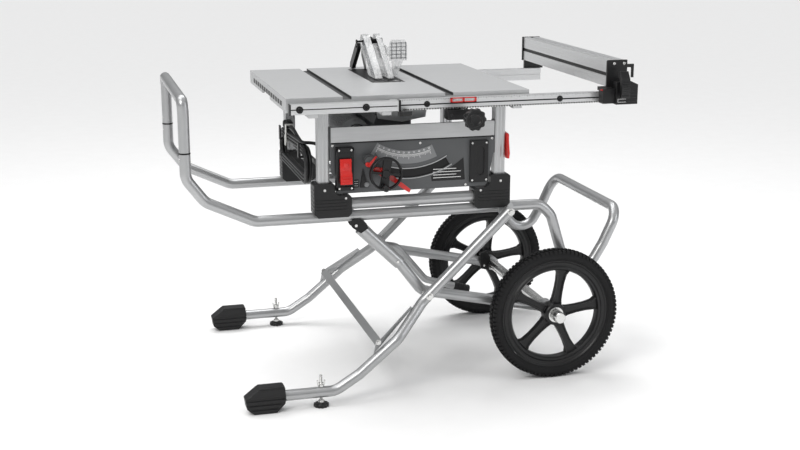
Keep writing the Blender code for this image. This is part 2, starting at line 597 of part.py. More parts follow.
# ---------------------------------------------------------------- blade guard
def build_guard():
    py, pz = GUARD_PIN
    outline = ((0.190, 0.988), (0.189, 1.002), (0.180, 1.0125), (0.166, 1.0165), (0.151, 1.0125),
               (-0.003, 0.9085), (-0.0145, 0.8985), (-0.0135, 0.8950), (0.070, 0.8950), (0.080, 0.898),
               (0.172, 0.970), (0.184, 0.977))
    for side, x in (("left", (0.340, 0.343)), ("right", (0.389, 0.392))):
        shield = prism(f"guard_shield_{side}", outline, "X", x[0], x[1], CLEAR)
        bore = rod(f"shield_bore_{side}", "X", GUARD_PIN, 0.0033, x[0] - 0.01, x[1] + 0.01, None, CUTTERS, 16)
        cut(shield, bore)
        hinge_origin(shield, (x[0], py, pz))
    profile = ((0.0, 0.316), (0.006, 0.316), (0.006, 0.320), (0.003, 0.320),
               (0.003, 0.3433), (0.0075, 0.3433),
               (0.0075, BLADE_X[0] - GAP), (0.003, BLADE_X[0] - GAP), (0.003, BLADE_X[1] + GAP),
               (0.0075, BLADE_X[1] + GAP), (0.0075, 0.3887), (0.003, 0.3887), (0.003, 0.402), (0.0, 0.402))
    pin = turned_solid("guard_pivot", "X", GUARD_PIN, profile, BLACK, 12)
    arm = ((0.230, 0.976), (0.172, 1.003), (0.158, 1.002), (0.154, 0.990), (0.104, 0.970), (0.128, 0.936),
           (0.184, 0.937))
    weld(pin, prism("guard_side_arm", arm, "X", 0.3975, 0.4005, None, CUTTERS))
    window = box("guard_window", (0.3935, 0.4510), (0.045, 0.048), (0.9430, 1.0080), CLEAR)
    tail = ((0.3985, 0.945), (0.404, 0.8965), (0.420, 0.8965), (0.4385, 0.945))
    lower = prism("window_tail", tail, "Y", 0.045, 0.048, None, CUTTERS)
    flange = box("window_flange", (0.3935, 0.3970), (0.0455, 0.140), (0.955, 0.985), None, CUTTERS)
    weld(window, lower, flange)
    outline = ((0.196, 0.983), (0.190, 0.972), (0.196, 0.962), (0.262, 0.906), (0.270, 0.8955),
               (0.302, 0.8955), (0.296, 0.912), (0.218, 0.980), (0.208, 0.985))
    pawl = prism("kickback_pawl", outline, "X", 0.326, 0.3385, BLACK)
    cut(pawl, rod("pawl_bore", "X", PAWL_PIN, 0.0034, 0.31, 0.35, None, CUTTERS, 16))
    hinge_origin(pawl, (0.332, *PAWL_PIN))
    stem = rod("pawl_pin", "X", PAWL_PIN, 0.0030, 0.3235, BLADE_X[0] + 0.0005, None, CUTTERS, 16)
    weld(bpy.data.objects["riving_knife"], stem)


def build_push_stick():
    outline = ((-0.300, 0.700), (-0.296, 0.684), (-0.275, 0.683), (-0.262, 0.704),
               (-0.225, 0.728), (-0.060, 0.742),
               (-0.030, 0.726), (-0.016, 0.730), (-0.018, 0.760), (-0.240, 0.762), (-0.285, 0.758))
    prism("push_stick", outline, "X", 0.6643, 0.6726, RED)


# ---------------------------------------------------------------- stand
def build_frame_loop():
    y = SIDE_Y
    half = [(-0.277, -y, 0.741), (-0.277, -y, 0.668), (-0.225, -y, 0.598), (-0.085, -y, 0.533),
            (0.786, -y, 0.533), (0.822, -y, 0.495), (0.858, -y, 0.378), (0.905, -y, 0.324),
            (0.958, -y, 0.332), (0.996, -y, 0.395), (1.046, -y, 0.500)]
    back = [(p[0], y, p[2]) for p in reversed(half)]
    path = rounded(half + back, 0.055, 3)
    tube("stand_frame_loop", path, TUBE_R, SILVER)
    half = [(-0.277, -y, 0.7413), (-0.277, -y, 0.860), (-0.279, -y, 0.889)]
    back = [(p[0], y, p[2]) for p in reversed(half)]
    tube("left_handle", rounded(half + back, 0.055, 4), TUBE_R, SILVER)


def build_outer_legs():
    for side, sign in SIDES:
        points = [(-0.118, sign * FOOT_Y, 0.043), (0.118, sign * FOOT_Y, 0.043),
                  (0.190, sign * FOOT_Y, 0.087), (0.306, sign * FOOT_Y, 0.184),
                  (0.400, sign * OUTER_Y, 0.270), (PIVOT_Q[0], sign * OUTER_Y, PIVOT_Q[1])]
        leg = tube(f"outer_leg_{side}", rounded(points, 0.06, 4), TUBE_R, SILVER)
        stem = (0.075, sign * FOOT_Y)
        cut(leg, rod(f"leveller_hole_{side}", "Z", stem, 0.0047, 0.01, 0.08, None, CUTTERS, 16))
        hinge_origin(leg, (PIVOT_Q[0], sign * OUTER_Y, PIVOT_Q[1]))
        build_boot(side, sign)
        profile = ((0.0, 0.0), (0.0215, 0.0), (0.023, 0.002), (0.023, 0.008), (0.018, 0.012), (0.009, 0.016),
                   (0.0043, 0.017), (0.0043, 0.095), (0.0, 0.095))
        turned_solid(f"leveller_{side}", "Z", stem, profile, BLACK, 20)
    build_brace()


def build_boot(side, sign):
    """A moulded sleeve over the end of an outer leg, flat below and chamfered at its nose."""
    y = sign * FOOT_Y
    outline = ((-0.149, 0.022), (-0.136, 0.0), (-0.046, 0.0), (-0.031, 0.012), (-0.031, 0.064),
               (-0.046, 0.078), (-0.128, 0.078), (-0.149, 0.058))
    boot = prism(f"foot_boot_{side}", outline, "Y", y - 0.024, y + 0.024, RUBBER)
    bore = rod(f"boot_bore_{side}", "X", (y, 0.043), TUBE_R + GAP, -0.1183, 0.0, None, CUTTERS)
    cut(boot, bore)


def build_brace():
    """The flat bar between the outer legs, with a sheet gusset at each end."""
    along = Vector((0.767, 0.641))
    across = Vector((-0.641, 0.767))
    centre = Vector((0.246, 0.179))
    corners = ((-1, -1), (1, -1), (1, 1), (-1, 1))
    outline = [centre + along * a * 0.012 + across * b * 0.002 for a, b in corners]
    bar = prism("outer_leg_brace", [tuple(p) for p in outline], "Y", -0.384, 0.384, SILVER)
    foot = Vector((0.244, 0.132))
    head = Vector((0.374, 0.2465))
    for side, sign in SIDES:
        run = (head - foot).normalized()
        away = Vector((-run.y, run.x))
        flat = [foot + away * 0.0175, head + away * 0.0175, head + away * 0.026,
                centre + along * 0.012 + across * 0.002, centre - along * 0.012 + across * 0.002,
                centre - along * 0.014 - across * 0.003]
        rings = []
        for thick in (0.0, 0.003):
            ring = []
            for p in flat:
                lean = max(0.0, p.x - 0.285) * 0.62
                ring.append((p.x, sign * (FOOT_Y - 0.0015 + thick - lean), p.y))
            rings.append(ring)
        gusset = keep(f"gusset_{side}", closed_mesh(f"gusset_{side}", rings, False), None, CUTTERS)
        weld(bar, gusset)


def inner_leg_pieces(side, y):
    """One bent leg with its upper sleeve, the yoke under the frame tube and the axle collar."""
    bend = [(0.300, y, 0.421), (0.345, y, 0.377), (0.412, y, 0.288), (0.7925, y, 0.207)]
    sleeve = [Vector((0.2235, y, 0.4945)), Vector((0.3435, y, 0.3785))]
    cheek = ((0.197, 0.506), (0.203, 0.499), (0.222, 0.482), (0.240, 0.500), (0.222, 0.5105),
             (0.2035, 0.5120), (0.197, 0.510))
    return [tube(f"inner_leg_{side}", rounded(bend, 0.05, 4), TUBE_R, None, CUTTERS),
            tube(f"inner_sleeve_{side}", sleeve, 0.0195, None, CUTTERS),
            prism(f"leg_yoke_{side}", cheek, "Y", y - 0.017, y + 0.017, None, CUTTERS),
            rod(f"axle_collar_{side}", "Y", HUB, 0.0235, y - 0.016, y + 0.016, None, CUTTERS)]


def build_inner_legs():
    y = SIDE_Y
    frame = rod("inner_leg_frame", "Y", PEDAL_AXIS, 0.0110, -y, y, SILVER)
    for side, sign in SIDES:
        weld(frame, *inner_leg_pieces(side, sign * y))
    cut(frame, rod("axle_bore", "Y", HUB, 0.0128, -0.3, 0.3, None, CUTTERS))
    hinge_origin(frame, (PIVOT_P[0], 0.0, PIVOT_P[1]))
    profile = ((0.0, -0.386), (0.015, -0.386), (0.0175, -0.3825), (0.0175, -0.352), (0.0125, -0.352),
               (0.0125, 0.352), (0.0175, 0.352), (0.0175, 0.3825), (0.015, 0.386), (0.0, 0.386))
    axle = turned_solid("wheel_axle", "Y", HUB, profile, STEEL, 20)
    weld(axle, rod("axle_sleeve", "Y", HUB, 0.0165, -0.246, 0.246, None, CUTTERS))


def build_wheels():
    for side, sign in SIDES:
        y = sign * WHEEL_Y
        h = TYRE_HALF
        half = [(0.1700, 0.017), (0.186, h), (0.197, 0.019), (0.2025, 0.010)]
        profile = [(r, y - w) for r, w in half] + [(TYRE_R, y)] + [(r, y + w) for r, w in reversed(half)]
        tyre = lathe(f"wheel_tyre_{side}", "Y", HUB, profile, RUBBER, PARTS, 48)
        hinge_origin(tyre, (HUB[0], y, HUB[1]))
        rim = rod(f"wheel_rim_{side}", "Y", HUB, 0.1695, y - 0.0165, y + 0.0165, BLACK, PARTS, 48)
        cut(rim, *rim_windows(side, y))
        hub = rod(f"wheel_hub_{side}", "Y", HUB, 0.034, y - 0.0215, y + 0.0215, None, CUTTERS)
        weld(rim, hub)
        cut(rim, rod(f"wheel_bore_{side}", "Y", HUB, 0.0128, y - 0.05, y + 0.05, None, CUTTERS))
        hinge_origin(rim, (HUB[0], y, HUB[1]))


def rim_windows(side, y):
    """Five openings between tapering spokes."""
    made = []
    for i in range(5):
        middle = math.radians(80 - 36 + 72 * i)
        outline = []
        for k in range(7):
            angle = middle + math.radians(-30.5 + 61 * k / 6)
            outline.append((HUB[0] + 0.139 * math.cos(angle), HUB[1] + 0.139 * math.sin(angle)))
        for k in range(4):
            angle = middle + math.radians(19 - 38 * k / 3)
            outline.append((HUB[0] + 0.040 * math.cos(angle), HUB[1] + 0.040 * math.sin(angle)))
        made.append(prism(f"rim_window_{side}_{i}", outline, "Y", y - 0.03, y + 0.03, None, CUTTERS))
    return made


def build_pedal():
    x, z = PEDAL_AXIS
    ring = rod("release_pedal", "Y", PEDAL_AXIS, 0.0175, -0.018, 0.018, SILVER)
    route = [(x + 0.006, 0, z - 0.002), (0.404, 0, 0.357), (0.499, 0, 0.241), (0.600, 0, 0.210)]
    path = rounded(route, 0.035, 3)
    grip = tube("pedal_grip", [Vector((0.596, 0, 0.2112)), Vector((0.648, 0, 0.1950))], 0.0145, None, CUTTERS)
    weld(ring, tube("pedal_bar", path, 0.0115, None, CUTTERS, 1), grip)
    cut(ring, rod("pedal_bore", "Y", PEDAL_AXIS, 0.0113, -0.03, 0.03, None, CUTTERS))
    hinge_origin(ring, (x, 0, z))


# ---------------------------------------------------------------- mains cord
def smooth(route, share=4):
    """A smooth curve that passes through every point of a route."""
    points = [Vector(p) for p in route]
    ends = [2 * points[0] - points[1]] + points + [2 * points[-1] - points[-2]]
    path = []
    for a, b, c, d in zip(ends, ends[1:], ends[2:], ends[3:]):
        for i in range(share):
            t = i / share
            path.append(0.5 * (2 * b + (c - a) * t + (2 * a - 5 * b + 4 * c - d) * t ** 2
                               + (3 * b - a - 3 * c + d) * t ** 3))
    return path + [points[-1]]


def racetrack(name, radius, x, mat, collection):
    """An outline with two round ends, lying along Y, cut out of a slab across X."""
    rear = ring_points((HANK_Y, HANK_Z), radius, 13, -math.pi / 2, math.pi)
    front = ring_points((-HANK_Y, HANK_Z), radius, 13, math.pi / 2, math.pi)
    return prism(name, rear + front, "X", x[0], x[1], mat, collection)


def build_cord():
    """A wound hank on the two hooks, the lead that feeds it and the plug at its loose end."""
    outer = HANK_INNER + 3 * CORD_PITCH
    middle = HANK_X + CORD_PITCH / 2
    hank = racetrack("cord_coil", outer, (middle - CORD_PITCH, middle + CORD_PITCH), RUBBER, PARTS)
    cut(hank, racetrack("hank_eye", HANK_INNER, (0.03, 0.12), None, CUTTERS))
    top = HANK_Z + outer + CORD_R + GAP
    route = [(0.150, -0.250, 0.690), (0.150, -0.228, 0.692), (0.146, -0.208, 0.703), (0.134, -0.192, 0.720),
             (0.114, -0.183, 0.7345), (0.096, -0.168, top + 0.0035), (0.084, -0.147, top + 0.0010),
             (HANK_X, -0.120, top), (HANK_X, -0.100, top)]
    tube("cord_lead", smooth(route, 3), CORD_R, RUBBER)
    low = HANK_Z + outer + GAP
    plug_x = HANK_X + CORD_PITCH
    outline = ((plug_x - 0.016, 0.120), (plug_x + 0.016, 0.120), (plug_x + 0.016, 0.158),
               (plug_x + 0.009, 0.172), (plug_x - 0.009, 0.172), (plug_x - 0.016, 0.158))
    prism("cord_plug", outline, "Z", low, low + 0.028, BLACK)


build_table()
build_throat()
build_rails()
build_rail_drive()
build_fence()
build_body_frame()
build_front_panel()
build_handwheel()
build_cradle()
build_knife()
build_shroud()
build_motor()
build_blade()
build_guard()
build_push_stick()
build_frame_loop()
build_outer_legs()
build_inner_legs()
build_wheels()
build_pedal()
build_cord()
for made in list(PARTS.objects) + list(CUTTERS.objects):
    made.location += SHIFT
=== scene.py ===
"""The looks of a portable table saw on its rolling stand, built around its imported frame.

Shapes are in millimetres in the saw's own frame: x from the table's left edge, y from the middle
plane towards the back, z from the floor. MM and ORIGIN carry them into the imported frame, in metres.
"""
import math

import bmesh
import bpy
from mathutils import Matrix, Vector


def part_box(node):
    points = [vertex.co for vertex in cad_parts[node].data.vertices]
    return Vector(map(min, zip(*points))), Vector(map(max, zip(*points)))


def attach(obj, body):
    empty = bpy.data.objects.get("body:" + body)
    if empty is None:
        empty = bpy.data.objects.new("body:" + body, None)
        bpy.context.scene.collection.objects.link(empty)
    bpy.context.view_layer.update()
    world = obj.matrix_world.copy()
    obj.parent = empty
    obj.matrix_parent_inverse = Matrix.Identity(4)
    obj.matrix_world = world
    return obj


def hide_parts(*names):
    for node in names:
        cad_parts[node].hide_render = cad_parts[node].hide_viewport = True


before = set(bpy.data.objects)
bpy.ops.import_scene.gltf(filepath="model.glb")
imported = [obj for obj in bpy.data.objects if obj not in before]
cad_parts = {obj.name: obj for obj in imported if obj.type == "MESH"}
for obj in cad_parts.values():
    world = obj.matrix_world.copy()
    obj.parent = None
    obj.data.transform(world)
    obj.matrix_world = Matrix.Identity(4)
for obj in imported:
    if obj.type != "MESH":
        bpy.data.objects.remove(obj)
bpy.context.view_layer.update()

MM = 0.001
TABLE_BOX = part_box("table_top")
AXLE_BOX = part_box("wheel_axle")
ORIGIN = Vector((TABLE_BOX[0].x, (AXLE_BOX[0].y + AXLE_BOX[1].y) / 2, 0.0))

TABLE_Z = TABLE_BOX[1].z / MM
SIDE_Y = 263
OUTER_Y = 317
FOOT_Y = 385
TUBE_R = 16
PIVOT_P = (418, 288)
PIVOT_Q = (668, 530)
HUB = (814, 203)
PEDAL_PIVOT = (346, 379)
TREAD_COUNT = 90
MITRE_SLOTS = ((162, 187), (462, 486))
PANEL_FACE = -282
SHAFT = (282, 669)
WHEEL_Y = 325.5
TILT_X = 366
GUARD_PIN = (166, 993)
SIDES = (("front", -1), ("rear", 1))
ROOT = "saw_and_frame"


def span(node):
    """The three (low, high) pairs of a node in the saw's own frame."""
    low, high = ((corner - ORIGIN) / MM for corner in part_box(node))
    return (low.x, high.x), (low.y, high.y), (low.z, high.z)


# ---- camera, light and floor
def build_camera():
    data = bpy.data.cameras.new("camera")
    data.lens = 57.34
    data.sensor_width = 36.0
    camera = add_object("camera", data)
    camera.location = Vector((-0.608, -3.791, 1.412)) + ORIGIN
    camera.rotation_euler = (math.radians(75.912), 0.0, math.radians(-15.114))
    bpy.context.scene.camera = camera


def add_object(name, data):
    made = bpy.data.objects.new(name, data)
    bpy.context.scene.collection.objects.link(made)
    return made


def soft_light(name, place, target, size, power, tint):
    data = bpy.data.lights.new(name, "AREA")
    data.shape = "RECTANGLE"
    data.size, data.size_y = size
    data.energy = power
    data.color = tint
    light = add_object(name, data)
    light.location = place
    light.rotation_euler = (Vector(target) - Vector(place)).to_track_quat("-Z", "Y").to_euler()


def build_studio():
    """Soft lights, an even pale surround that the camera sees as white, and the floor."""
    bpy.context.scene.view_settings.view_transform = "Standard"
    soft_light("key_light", (-2.4, -2.6, 3.0), (0, 0, 0.5), (1.6, 1.6), 70, (1.0, 0.99, 0.97))
    soft_light("fill_light", (3.0, -2.4, 1.6), (0, 0, 0.5), (1.0, 2.0), 22, (0.97, 0.98, 1.0))
    soft_light("top_light", (0.3, 1.6, 3.4), (0, 0, 0.6), (2.6, 1.2), 36, (1.0, 1.0, 1.0))
    data = bpy.data.lights.new("sky_light", "SUN")
    data.energy = 1.35
    data.angle = math.radians(50)
    add_object("sky_light", data).rotation_euler = (math.radians(-8), math.radians(-16), 0)
    world = bpy.data.worlds.new("studio")
    bpy.context.scene.world = world
    world.use_nodes = True
    tree = world.node_tree
    coords = add_node(tree, "TexCoord")
    split = add_node(tree, "SeparateXYZ")
    ramp = add_node(tree, "ValToRGB")
    path = add_node(tree, "LightPath")
    tree.links.new(coords.outputs["Generated"], split.inputs["Vector"])
    tree.links.new(split.outputs["Z"], ramp.inputs["Fac"])
    seen = mixed(tree, path.outputs["Is Camera Ray"], ramp.outputs["Color"], (1.0, 1.0, 1.0))
    backdrop = tree.nodes["Background"]
    tree.links.new(seen, backdrop.inputs["Color"])
    backdrop.inputs["Strength"].default_value = 0.9
    for stop, height, colour in zip(ramp.color_ramp.elements, (0.0, 0.85),
                                    ((0.16, 0.165, 0.17), (0.72, 0.72, 0.72))):
        stop.position = height
        stop.color = (*colour, 1.0)
    bpy.ops.mesh.primitive_plane_add(size=60)
    floor = bpy.context.object
    floor.name = "floor"
    floor.data.materials.append(finish("pale_floor", (0.90, 0.90, 0.90), 0.0, 0.8, mottling=0.01,
                                       bump=0.0))


# ---- materials
def add_node(tree, kind, **values):
    """A new shader node with its fixed sockets set."""
    made = tree.nodes.new("ShaderNode" + kind)
    for socket, value in values.items():
        made.inputs[socket.replace("_", " ")].default_value = value
    return made


def mixed(tree, factor, colour, other):
    """A linked colour mixed with a fixed one."""
    mix = add_node(tree, "Mix")
    mix.data_type = "RGBA"
    mix.inputs["B"].default_value = (*other, 1.0)
    tree.links.new(factor, mix.inputs["Factor"])
    tree.links.new(colour, mix.inputs["A"])
    return mix.outputs["Result"]


def finish(name, colour, metallic, roughness, mottling=0.06, grain=900.0, bump=0.12,
           stretch=(1, 1, 1), edge=0.0, wear_and_highlight=0.0, worn_and_highlit_colour=(0.9, 0.9, 0.9), coat=0.0, alpha=1.0, ior=1.5):
    """A procedural finish: mottled colour, uneven gloss, a fine grain, soft edges, and edges lightened
    partly as wear and partly as a painted highlight.
    """
    made = bpy.data.materials.new(name)
    made.use_nodes = True
    tree = made.node_tree
    link = tree.links.new
    shader = tree.nodes["Principled BSDF"]
    for socket, value in (("Metallic", metallic), ("Coat Weight", coat), ("Coat Roughness", 0.12),
                          ("IOR", ior), ("Alpha", alpha)):
        shader.inputs[socket].default_value = value
    coords = add_node(tree, "TexCoord")
    mapping = add_node(tree, "Mapping", Scale=stretch)
    link(coords.outputs["Object"], mapping.inputs["Vector"])
    broad = add_node(tree, "TexNoise", Scale=11.0, Detail=5.0)
    fine = add_node(tree, "TexNoise", Scale=grain, Detail=3.0)
    for cloud in (broad, fine):
        link(mapping.outputs["Vector"], cloud.inputs["Vector"])
    shade = add_node(tree, "ValToRGB")
    for stop, place, gain in zip(shade.color_ramp.elements, (0.28, 0.72), (1 - mottling, 1 + mottling)):
        stop.position = place
        stop.color = (*(min(1.0, c * gain) for c in colour), 1.0)
    link(broad.outputs["Fac"], shade.inputs["Fac"])
    gloss = add_node(tree, "MapRange", To_Min=max(0.02, roughness - 0.06),
                     To_Max=min(1.0, roughness + 0.06))
    link(fine.outputs["Fac"], gloss.inputs["Value"])
    link(gloss.outputs["Result"], shader.inputs["Roughness"])
    relief = add_node(tree, "Bump", Strength=bump, Distance=0.0006)
    link(fine.outputs["Fac"], relief.inputs["Height"])
    link(relief.outputs["Normal"], shader.inputs["Normal"])
    colour_out = shade.outputs["Color"]
    if edge:
        soft = add_node(tree, "Bevel", Radius=edge)
        soft.samples = 4
        link(soft.outputs["Normal"], relief.inputs["Normal"])
        if wear_and_highlight:
            # Painted highlight and wear: edges are mixed towards a paler colour.
            colour_out = mixed(tree, worn_edges(tree, soft, fine, wear_and_highlight), colour_out, worn_and_highlit_colour)
    link(colour_out, shader.inputs["Base Color"])
    return made


def worn_edges(tree, soft, fine, wear_and_highlight):
    """How much an edge is lightened, partly as wear and partly as a painted highlight: where the softened
    normal leaves the flat one, broken up by the grain.
    """
    link = tree.links.new
    flat = add_node(tree, "NewGeometry")
    dot = add_node(tree, "VectorMath")
    dot.operation = "DOT_PRODUCT"
    link(soft.outputs["Normal"], dot.inputs[0])
    link(flat.outputs["True Normal"], dot.inputs[1])
    reach = add_node(tree, "MapRange", From_Min=0.99, From_Max=0.80, To_Max=wear_and_highlight)
    link(dot.outputs["Value"], reach.inputs["Value"])
    broken = add_node(tree, "Math")
    broken.operation = "MULTIPLY"
    link(reach.outputs["Result"], broken.inputs[0])
    link(fine.outputs["Fac"], broken.inputs[1])
    return broken.outputs["Value"]


CAST = finish("machined_cast_aluminium", (0.50, 0.505, 0.51), 0.55, 0.42, 0.04, 260, 0.10,
              (2, 30, 2), edge=0.0012, wear_and_highlight=0.5)
CASTING = finish("rough_cast_aluminium", (0.36, 0.365, 0.37), 0.7, 0.5, 0.10, 700, 0.35,
                 edge=0.0012)
EXTRUDED = finish("anodised_extrusion", (0.64, 0.645, 0.65), 0.70, 0.30, 0.04, 300, 0.07,
                  (1, 20, 20), edge=0.0008, wear_and_highlight=0.4)
# Painted shade: the anodised extrusion again, made darker for the upright legs.
SHADED_UPRIGHT = finish("anodised_upright_painted_shade", (0.46, 0.465, 0.47), 0.75, 0.30, 0.04, 300, 0.07,
                 (20, 20, 1), edge=0.0008, wear_and_highlight=0.4)
SILVER = finish("silver_powder_coat", (0.42, 0.425, 0.43), 0.70, 0.32, 0.04, 1600, 0.14,
                edge=0.0008)
ZINC = finish("bright_zinc", (0.66, 0.66, 0.65), 1.0, 0.26, 0.08, 500, 0.05, edge=0.0005)
BLADE = finish("ground_steel", (0.55, 0.55, 0.56), 1.0, 0.25, 0.05, 500, 0.08, (1, 8, 8))
BLACK = finish("black_moulding", (0.004, 0.004, 0.0045), 0.0, 0.38, 0.15, 1500, 0.20, edge=0.0012,
               wear_and_highlight=0.40, worn_and_highlit_colour=(0.24, 0.24, 0.24), ior=1.45)
# Black powder coat for real parts, and for the painted shade behind the tilt slot.
BLACK_COAT_AND_SHADE = finish("black_powder_coat_and_painted_shade", (0.006, 0.006, 0.0065), 0.0, 0.38, 0.12, 1200, 0.15,
                 edge=0.0008, wear_and_highlight=0.25, worn_and_highlit_colour=(0.28, 0.28, 0.28), ior=1.38)
RUBBER = finish("black_rubber", (0.004, 0.004, 0.0045), 0.0, 0.46, 0.18, 1100, 0.25, edge=0.0012,
                wear_and_highlight=0.35, worn_and_highlit_colour=(0.14, 0.14, 0.14), ior=1.45)
TYRE = finish("tyre_rubber", (0.005, 0.005, 0.0055), 0.0, 0.66, 0.20, 800, 0.35, ior=1.36)
CORD = finish("cord_sheath", (0.006, 0.006, 0.0065), 0.0, 0.44, 0.15, 900, 0.15, ior=1.38)
PANEL = finish("grey_panel_paint", (0.082, 0.085, 0.088), 0.2, 0.42, 0.06, 1300, 0.10,
               edge=0.0006)
BAND = finish("silver_panel_band", (0.46, 0.465, 0.47), 0.6, 0.34, 0.05, 500, 0.05, (1, 1, 14),
              edge=0.0006)
SCALE = finish("scale_plate", (0.20, 0.205, 0.21), 0.3, 0.40, 0.03, 900, 0.04)
RED = finish("red_moulding", (0.56, 0.012, 0.008), 0.0, 0.34, 0.08, 1200, 0.10, edge=0.0010,
             wear_and_highlight=0.2, worn_and_highlit_colour=(0.9, 0.20, 0.15), coat=0.3)
# Its edges go white: partly scuffing, partly a painted highlight.
CLEAR = finish("clear_polycarbonate", (0.72, 0.75, 0.77), 0.0, 0.12, 0.45, 700, 0.30, (30, 12, 12),
               edge=0.0006, wear_and_highlight=0.6, worn_and_highlit_colour=(1.0, 1.0, 1.0), coat=1.0, alpha=0.46, ior=1.58)
# Painted shade: a dark grey copy of the clear polycarbonate for the guard's ribs and bosses, to draw the
# dark lines they show.
SHADED_CLEAR = finish("polycarbonate_painted_shade", (0.16, 0.17, 0.18), 0.0, 0.14, 0.20, 700, 0.10, coat=1.0,
                alpha=0.55, ior=1.58)
STRAP = finish("woven_strap", (0.62, 0.62, 0.60), 0.0, 0.85, 0.10, 1400, 0.60, (1, 1, 3))
WHITE = finish("printed_white", (0.80, 0.80, 0.80), 0.0, 0.45, 0.03, 900, 0.03)
# Painted shade: near-black metal for the shade inside the mitre slots.
SLOT_SHADE = finish("painted_slot_shade", (0.045, 0.046, 0.047), 0.35, 0.50, 0.10, 300, 0.12,
                    (2, 30, 2))
# Black for print, and for painted shade in grooves, in slots and behind the rack teeth.
INK_AND_SHADE = finish("printed_black_and_painted_shade", (0.012, 0.012, 0.012), 0.0, 0.45, 0.10, 900, 0.03, ior=1.38)


# ---- shape tools
def place(axis, u, v, w):
    """A point from two coordinates across an axis and one along it."""
    if axis == "X":
        return (w, u, v)
    if axis == "Y":
        return (u, w, v)
    return (u, v, w)


def steps(first, step, count):
    """Evenly spaced numbers."""
    return [first + step * i for i in range(count)]


def corners(x, y, dx, dy):
    """The four corners of a rectangle, moved inwards."""
    return [(u, v) for u in (x[0] + dx, x[1] - dx) for v in (y[0] + dy, y[1] - dy)]


def mirrored(half, middle=0):
    """A (radius, along) profile completed by its mirror image about a middle plane."""
    return [*half, *((r, 2 * middle - w) for r, w in reversed(half))]


def ring_points(centre, radius, sides):
    """Points round a centre; the radius is a number or a function of the angle."""
    points = []
    for i in range(sides):
        angle = math.tau * i / sides
        r = radius(angle) if callable(radius) else radius
        points.append((centre[0] + r * math.cos(angle), centre[1] + r * math.sin(angle)))
    return points


def rounded(points, radius, steps=12):
    """A path of straight runs with its inner corners turned into arcs."""
    corners = [Vector(p) for p in points]
    path = [corners[0]]
    for before, corner, after in zip(corners, corners[1:], corners[2:]):
        a = (before - corner).normalized()
        b = (after - corner).normalized()
        half = a.angle(b) / 2
        reach = min(radius / math.tan(half), 0.49 * (before - corner).length,
                    0.49 * (after - corner).length)
        turn = reach * math.tan(half)
        middle = corner + (a + b).normalized() * (turn / math.sin(half))
        first = corner + a * reach - middle
        last = corner + b * reach - middle
        whole = first.angle(last)
        for i in range(steps + 1):
            share = i / steps
            part = math.sin((1 - share) * whole) * first + math.sin(share * whole) * last
            path.append(middle + part / math.sin(whole))
    path.append(corners[-1])
    return path


def smooth(route, share):
    """A smooth curve that passes through every point of a route."""
    points = [Vector(p) for p in route]
    ends = [2 * points[0] - points[1]] + points + [2 * points[-1] - points[-2]]
    path = []
    for a, b, c, d in zip(ends, ends[1:], ends[2:], ends[3:]):
        for i in range(share):
            t = i / share
            square = 2 * a - 5 * b + 4 * c - d
            cube = 3 * b - a - 3 * c + d
            path.append(0.5 * (2 * b + (c - a) * t + square * t ** 2 + cube * t ** 3))
    return path + [points[-1]]


